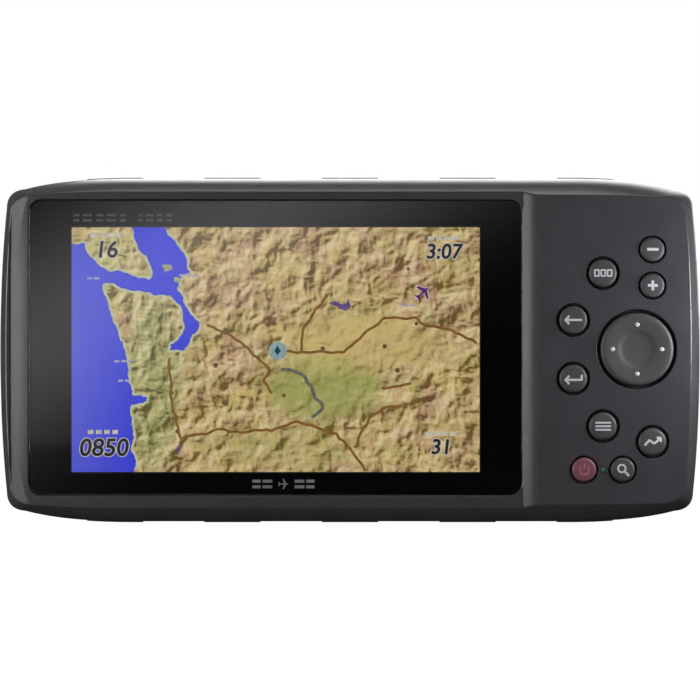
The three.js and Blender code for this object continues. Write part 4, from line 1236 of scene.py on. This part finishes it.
def cover_plate():
    """Battery cover with two latch cups, grip grooves, and lock signs beside each latch."""
    outline = round_rect(COVER_LOW.x, COVER_HIGH.x, COVER_LOW.z, COVER_HIGH.z, 4.7)
    inner, top = COVER_HIGH.y - 2.7, COVER_HIGH.y - 0.04
    plate = stacked(outline, [
        (0.2, inner), (0, inner + 0.2), (0, top - 1.3), (.08, top - 1.0), (.3, top - .72), (.7, top - .5),
        (1.4, top - .3), (2.6, top - .14), (4.2, top - .04), (6, top)])
    piece = make("battery_lid", plate, CASE, "battery_cover", ["battery_cover"])
    cups = [lathed([(0, 17.2), (9.5, 17.2), (9.5, inner + 1), (0, inner + 1)], x) for x in LATCH_X]
    combine(piece, cups, "UNION")
    cuts = [well(8.7, x, 0, 18.6, top, 0.35, 72) for x in LATCH_X]
    cuts += [lathed([(0, 16), (3.3, 16), (3.3, 22), (0, 22)], x, 0, 32) for x in LATCH_X]
    for z in (-22, -18.5, -15, 15, 18.5, 22):
        groove = round_rect(COVER_X - 24, COVER_X + 24, z - 0.8, z + 0.8, 0.8, 6)
        cuts.append(stacked(groove, [
            (0.5, top - .6), (.25, top - .52), (.08, top - .35), (0, top - .15), (-.1, top - .02),
            (-.35, top + .1), (-.35, top + 1)]))
    combine(piece, cuts, "DIFFERENCE")
    finished(piece)
    marks = Shape()
    surface = (level(top + 0.03), level(top - 0.05))
    for x in LATCH_X:
        for dx, hasp in ((-11.6, 0.0), (11.6, 0.9)):
            z = -6.6
            left, right = x + dx - 1.1, x + dx + 1.1
            lock = [(left, z - .9), (right, z - .9), (right, z + .5), (left, z + .5)]
            marks.join(filled(lock, *surface))
            bow = arc(.75, 0, 180, x + dx + hasp, z + 1.1)
            marks.join(ribbon([(x + dx + hasp + .75, z + .52)] + bow, .35, *surface))
        for dx in (-11.6, 11.6):
            tip = math.copysign(0.8, -dx)
            arrow = [(x + dx - tip, -2.7), (x + dx - tip, -1.1), (x + dx + tip, -1.9)]
            marks.join(filled(arrow, *surface))
    make("battery_lid_marks", marks, LEGEND, "battery_cover")


def bar_along_x(x0, x1, y, z, radius):
    round_section = [(y + radius * math.cos(t), z + radius * math.sin(t)) for t in turns(20)]
    return lofted([[(x, *point) for point in round_section] for x in (x0, x1)])


def swept(line, radius):
    """A round bar along [x, z, share of the radius] points."""
    sections = []
    for i, (x, z, r) in enumerate(line):
        ax, az, _ = line[max(i - 1, 0)]
        bx, bz, _ = line[min(i + 1, len(line) - 1)]
        length = math.hypot(bx - ax, bz - az)
        nx, nz = -(bz - az) / length, (bx - ax) / length
        sections.append([
            (x + nx * r * math.cos(t) * radius, r * math.sin(t) * radius, z + nz * r * math.cos(t) * radius)
            for t in turns(16)])
    return lofted(sections)


def latch(side):
    """A quarter-turn stud with a slotted head and a foot, and the half ring that folds out of it."""
    node = f"latch_stud_{side}"
    middle, radius, front, top = turned_node(node)
    y = top - 1
    head = lathed([
        (0, y - 1), (radius - .3, y - 1), (radius, y - .7), (radius, y + .45), (radius - .12, y + .72),
        (radius - .45, y + .95), (radius - .9, top), (3.9, top), (3.6, top - .12), (3.4, top - .3),
        (0, top - .34)], middle.x, middle.z, 64)
    piece = make(f"{node}_head", head, DARK_STEEL, f"latch_{side}", [node])
    stem_profile = [(0, front), (2.6, front), (2.8, front + .2), (2.8, y - .8), (0, y - .8)]
    stem = lathed(stem_profile, middle.x, middle.z, 32)
    foot = block(middle.x - 4.6, middle.x + 4.6, front, front + 1.8, middle.z - 2, middle.z + 2, 1)
    combine(piece, [stem, foot], "UNION")
    slot_cut = stacked(
        round_rect(middle.x - 3.0, middle.x + 3.0, middle.z - .62, middle.z + .62, .6, 5),
        [(0, top - 1.25), (0, top - .5), (-.15, top - .33), (-.3, top)])
    pins = [
        bar_along_x(x0, x1, y, middle.z, 0.85) for x0, x1 in
        ((middle.x + 4.4, middle.x + radius + 1), (middle.x - radius - 1, middle.x - 4.4))]
    combine(piece, [slot_cut] + pins, "DIFFERENCE")
    finished(piece)
    ring = f"latch_ring_{side}"
    line = [(-4.9, 0, .66), (-5.0, 0, .7), (-6.0, 0, .7), (-6.45, 0, .8)]
    line += [(-6.6 - .75 * math.sin(t), -.75 + .75 * math.cos(t), 1) for t in
             (math.pi / 2 * i / 6 for i in range(1, 6))]
    bow = [(7.35 * math.cos(t), 7.35 * math.sin(t), 1) for t in
           (math.pi + math.radians(6.5) + math.radians(167) * i / 44 for i in range(45))]
    line += bow + [(-x, z, r) for x, z, r in reversed(line)]
    bow_shape = swept(line, 0.86).moved(middle.x, y, middle.z)
    make(f"{ring}_bow", bow_shape, STEEL, f"ring_{side}", [ring])


def port_flap():
    """Rubber flap, its living hinge and its anchor, all one moulding."""
    low, high = node_box("port_cover")
    anchor = node_box("port_cover_anchor")
    middle = (low.z + high.z) / 2
    back, front = high.y, high.y - 1.6
    hinge = (anchor[1].x + low.x) / 2
    plate_end = high.x - 2
    rows = [(anchor[0].x, 6.5, .35), (anchor[0].x + .12, 6.8, .15), (anchor[0].x + .4, 7, 0),
            (anchor[1].x - .6, 7, 0), (anchor[1].x - .2, 7, .2)]
    rows += [(hinge - 1.0 + .2 * i, 6.6, .5) for i in range(11)]
    rows += [(low.x + .1, 7.4, .2), (low.x + .25, 8.2, .1), (low.x + .6, 9.0, 0), (low.x + 1.2, 9.55, 0),
             (low.x + 2, 9.88, 0), (low.x + 3, 10, 0)]
    rows += [(low.x + 3 + (plate_end - 6 - low.x) * i / 6, 10, 0) for i in range(1, 7)]
    rows += [(plate_end - 2, 9.88, 0), (plate_end - 1.2, 9.55, 0), (plate_end - .6, 9.0, 0),
             (plate_end - .25, 8.2, .05), (plate_end - .05, 6.6, .2), (plate_end + .05, 4.3, .3),
             (plate_end + .3, 4, .32), (high.x - .4, 4, .32), (high.x - .12, 3.8, .4), (high.x, 3.4, .6)]
    sections = []
    for x, half, thin in rows:
        y0, y1, r, small = front + thin * 0.6, back - thin, 0.34, 0.34 * .3
        section = []
        for cy, cz, size, start in (
            (y1 - r, half - r, r, 90), (y1 - r, -half + r, r, 0),
            (y0 + small, -half + small, small, -90), (y0 + small, half - small, small, 180),
        ):
            for i in range(5):
                t = math.radians(start - 22.5 * i)
                section.append((x, cy + size * math.cos(t), middle + cz + size * math.sin(t)))
        sections.append(section)
    piece = make("port_flap", lofted(sections), RUBBER, ride=False)
    bay = PORT_BAY
    lip_shape = round_rect(bay["x0"] + .4, bay["x1"] - .5, bay["z0"] + .4, bay["z1"] - .4, 2.2, 5)
    lip = stacked(
        lip_shape,
        [(.25, low.y), (0, low.y + .3), (0, front + .5), (1.2, front + .5), (1.2, low.y + .1), (1, low.y)],
        closed=True)
    ridges = [
        block(x - .25, x, back - .7, back - .12, middle - 3, middle + 3, .1)
        for x in (high.x - 1.5 + .55 * i for i in range(3))]
    combine(piece, [lip] + ridges, "UNION")
    sink = round_rect(low.x + 3, plate_end - 3, middle - 7, middle + 7, 2)
    combine(piece, [stacked(sink, [(.3, back - .3), (0, back - .22), (-.15, back - .02), (-.4, back + .2),
                                      (-.4, back + 1)])], "DIFFERENCE")
    tidy(piece, 40)
    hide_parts("port_cover", "port_cover_anchor")
    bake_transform(piece)
    signs = Shape()
    face = (level(back - .18), level(back - .35))
    x, z = 64.8, middle
    frame_line = [(x - 3, z - 1.6), (x + 3, z - 1.6), (x + 3, z + 1.2), (x - 3, z + 1.2)]
    signs.join(ribbon(frame_line, .5, *face, True))
    signs.join(ribbon([(x - 1.8, z - .2), (x + 1.8, z - .2)], .6, *face))
    signs.join(ribbon([(74, z - 3), (74, z + .5)], .5, *face))
    for r in (1.5, 2.8):
        signs.join(ribbon(arc(r, 40, 140, 74, z + .6), .45, *face))
    make("port_flap_signs", signs, RUBBER, "port_cover")


def dock():
    """Contact block for the powered mount, with two rows of sunk pins."""
    low, high = DOCK_LOW, DOCK_HIGH
    outline = round_rect(low.x + 1.4, high.x - 1.4, low.z + 1.4, high.z - 1.4, 0.6)
    piece = make("dock_block", stacked(outline, [(0, low.y + .3), (0, high.y - .25), (.08, high.y - .08),
                                                    (.3, high.y)]),
                 BLACK_PLASTIC, "housing", ["dock_contact_block"])
    middle = node_middle("dock_contact_pins")
    places = [(middle.x + 3.6 * (i - 2.5), middle.z + 4 * (j - .5)) for i in range(6) for j in range(2)]
    flange = slab(lambda inset: outline(-1.3), low.y, low.y + .6)
    combine(piece, [flange], "UNION")
    combine(piece, [well(1.2, x, z, high.y - 1.1, high.y, 0.15, 24) for x, z in places], "DIFFERENCE")
    finished(piece)
    pins = Shape()
    top = high.y
    pin = [(0, top - 1.05), (.95, top - 1.05), (.95, top - .35), (.88, top - .15), (.7, top - .03),
           (.4, top + .04), (0, top + .06)]
    for x, z in places:
        pins.join(lathed(pin, x, z, 24))
    make("dock_pins", pins, GOLD, "housing", ["dock_contact_pins"])


def screws():
    """Eight case screws with six-pointed recesses and rings for their thread."""
    for i, at in enumerate(SCREWS, 1):
        low, high = node_box(f"case_screw_{i}")
        seat = high.y - 1.8
        profile = [(0, low.y), (.5, low.y)]
        for k in range(12):
            y = low.y + .6 + k * 1.4
            profile += [(.85, y), (1.1, y + .35), (1.1, y + .5), (.85, y + .85)]
        profile += [(1.1, seat), (2.2, seat), (2.2, high.y - .65), (2.05, high.y - .25), (1.7, high.y - .04),
                    (1.3, high.y), (0, high.y)]
        node = f"case_screw_{i}"
        piece = make(
            f"{node}_head", lathed(profile, at.x, at.z, 24), DARK_STEEL, "housing", [node])
        star = [(at.x + r * math.cos(math.radians(30 * k)), at.z + r * math.sin(math.radians(30 * k)))
                for k, r in enumerate((1.15, .8) * 6)]
        combine(piece, [lofted([flat_ring(star, high.y - 1), flat_ring(star, high.y + 1)])], "DIFFERENCE")
        finished(piece)


def battery():
    """Battery pack with a finger notch, a seam round it, and a printed label with its two pole signs."""
    low, high = PACK_LOW, PACK_HIGH
    outline = round_rect(low.x, high.x, low.z, high.z, 2.4)
    pack = make("battery_case", slab(outline, low.y, high.y - .02, .5, .8), BATTERY, "battery",
                ["battery_pack"])
    notch = lathed([(0, high.y - 4), (6, high.y - 4), (6.9, high.y - 3), (7, high.y - .3), (7.4, high.y + 1),
                    (0, high.y + 1)], low.x - .5, 0, 64)
    label = round_rect(low.x + 12, high.x - 5, low.z + 5, high.z - 5, 1.5)
    sink = stacked(label, [(0, high.y - .14), (0, high.y + 1)])
    seam = stacked(outline, [(-1, 8), (.2, 8.15), (.2, 8.35), (-1, 8.5), (-2, 8.5), (-2, 8)], closed=True)
    combine(pack, [notch, sink, seam], "DIFFERENCE")
    finished(pack)
    paper = stacked(lambda inset: label(inset + .12), [(0, high.y - .2), (0, high.y - .08)])
    make("battery_label", paper, painted("label_paper", srgb(196, 198, 200), 0.4), "battery")
    face = (level(high.y - .05), level(high.y - .1))
    print_shape = Shape()
    x0, z0 = low.x + 18, high.z - 12
    for row, lengths in enumerate(((22, 8), (14, 12, 5), (18, 9), (10, 16))):
        x = x0
        for length in lengths:
            z, thick = z0 - 3.4 * row, 1.2 if row == 0 else .7
            print_shape.join(ribbon([(x, z), (x + length, z)], thick, *face))
            x += length + 2
    for sign_x in (high.x - 16, high.x - 10):
        print_shape.join(ribbon([(sign_x - 1.6, low.z + 12), (sign_x + 1.6, low.z + 12)], .7, *face))
    print_shape.join(ribbon([(high.x - 16, low.z + 12.35), (high.x - 16, low.z + 13.6)], .7, *face))
    print_shape.join(ribbon([(high.x - 16, low.z + 11.65), (high.x - 16, low.z + 10.4)], .7, *face))
    make("battery_print", print_shape, painted("label_ink", srgb(40, 42, 48), 0.5), "battery")


# ---- Camera, light and stage ----
# Square lamps: name, place in metres, size in metres, power in watts. All aim at the middle of the object.
LIGHTS = [
    ("left_far", (-0.9, -0.2, 0.10), 0.4, 8.5),
    ("left_front", (-0.38, -0.6, 0.08), 0.2, 0.85),
    ("right_near", (0.14, -0.045, 0.06), 0.03, 0.13),
    ("top_back", (0.0, 0.0, 0.8), 0.4, 1.7),
    ("back_fill", (0.2, 1.1, 0.5), 0.9, 9),
]
AIM = Vector((0, 0, 0.047))
CAMERA_DISTANCE, CAMERA_LENS = 0.6, 111.7
FLOOR_RADIUS, FLOOR_Z, FLOOR_GLOW = 0.55, -0.0001, 0.45

# A soft slanting strip of light that shows in the glass, as directions: x times dx less z times dz.
CARD = {"dx": 0.517, "dz": 0.856, "middle": -0.0793, "spread": 0.0305, "strength": 1.07}
SKY_GLOW, ROOM_GLOW = 0.25, 0.02


def camera_and_light():
    scene = bpy.context.scene
    scene.view_settings.view_transform = "Standard"
    camera = bpy.data.cameras.new("camera")
    camera.lens = CAMERA_LENS
    camera.sensor_width = 36
    holder = bpy.data.objects.new("camera", camera)
    scene.collection.objects.link(holder)
    holder.location = (0, -CAMERA_DISTANCE, MID_Z * MM)
    holder.rotation_euler = (math.pi / 2, 0, 0)
    scene.camera = holder
    for name, place, size, power in LIGHTS:
        lamp = bpy.data.lights.new(name, "AREA")
        lamp.size = size
        lamp.energy = power
        softbox = bpy.data.objects.new(name, lamp)
        scene.collection.objects.link(softbox)
        softbox.location = place
        softbox.rotation_euler = (AIM - Vector(place)).to_track_quat("-Z", "Y").to_euler()
        softbox.visible_camera = False


def studio_world():
    """White to the camera, and to all else a dim room with one soft strip of light."""
    world = bpy.data.worlds.new("studio")
    world.use_nodes = True
    bpy.context.scene.world = world
    tree = world.node_tree
    tree.nodes.clear()

    def math_node(operation, first, second):
        made = tree.nodes.new("ShaderNodeMath")
        made.operation = operation
        for socket, value in zip(made.inputs, (first, second)):
            if isinstance(value, bpy.types.NodeSocket):
                tree.links.new(value, socket)
            else:
                socket.default_value = value
        return made.outputs[0]

    direction = tree.nodes.new("ShaderNodeTexCoord").outputs["Generated"]
    parts = tree.nodes.new("ShaderNodeSeparateXYZ")
    tree.links.new(direction, parts.inputs[0])
    x, y, z = parts.outputs
    ahead = math_node("MAXIMUM", math_node("MULTIPLY", y, -1), 0.05)
    across = math_node("DIVIDE", math_node("SUBTRACT", math_node("MULTIPLY", x, CARD["dx"]),
                                           math_node("MULTIPLY", z, CARD["dz"])), ahead)
    offset = math_node("DIVIDE", math_node("SUBTRACT", across, CARD["middle"]), CARD["spread"])
    fade = math_node("EXPONENT", math_node("MULTIPLY", math_node("MULTIPLY", offset, offset), -0.5), 0)
    card = math_node("MULTIPLY", fade, CARD["strength"])
    sky = math_node("MULTIPLY", math_node("MAXIMUM", z, 0), SKY_GLOW)
    light = math_node("ADD", math_node("ADD", card, sky), ROOM_GLOW)
    background = tree.nodes.new("ShaderNodeBackground")
    tree.links.new(light, background.inputs["Strength"])
    white = tree.nodes.new("ShaderNodeBackground")
    white.inputs["Color"].default_value = (1, 1, 1, 1)
    choose = tree.nodes.new("ShaderNodeMixShader")
    tree.links.new(tree.nodes.new("ShaderNodeLightPath").outputs["Is Camera Ray"], choose.inputs[0])
    tree.links.new(background.outputs[0], choose.inputs[1])
    tree.links.new(white.outputs[0], choose.inputs[2])
    output = tree.nodes.new("ShaderNodeOutputWorld")
    tree.links.new(choose.outputs[0], output.inputs[0])


def floor():
    """A disc that the camera sees as white, and that throws a little light up onto the object."""
    mesh = bpy.data.meshes.new("floor")
    rim = [(FLOOR_RADIUS * math.cos(t), FLOOR_RADIUS * math.sin(t), FLOOR_Z) for t in turns(64)]
    mesh.from_pydata(rim, [], [tuple(range(64))])
    disc = bpy.data.objects.new("floor", mesh)
    bpy.context.scene.collection.objects.link(disc)
    nodes = Nodes("floor")
    nodes.set(Base_Color=srgb(60, 60, 60), Roughness=0.9, Specular_IOR_Level=0.0, Emission_Color=(1, 1, 1, 1))
    path = nodes.tree.nodes.new("ShaderNodeLightPath")
    soft = nodes.math("MULTIPLY", path.outputs["Is Diffuse Ray"], FLOOR_GLOW)
    nodes.set(Emission_Strength=nodes.math("MAXIMUM", path.outputs["Is Camera Ray"], soft))
    mesh.materials.append(nodes.material)
    disc.visible_glossy = False


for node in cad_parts.values():
    slot = node.data.materials[0].name.split(".")[0]
    node.data.materials[0] = CAD_LOOKS.get(slot, CASE)

camera_and_light()
studio_world()
floor()
front_shell()
cover_glass()
screen_map()
for key_node in KEY_NODES:
    key(key_node)
rocker()
status_light()
grip_sleeve()
rear_shell()
cover_plate()
for latch_side in ("left", "right"):
    latch(latch_side)
port_flap()
dock()
screws()
battery()
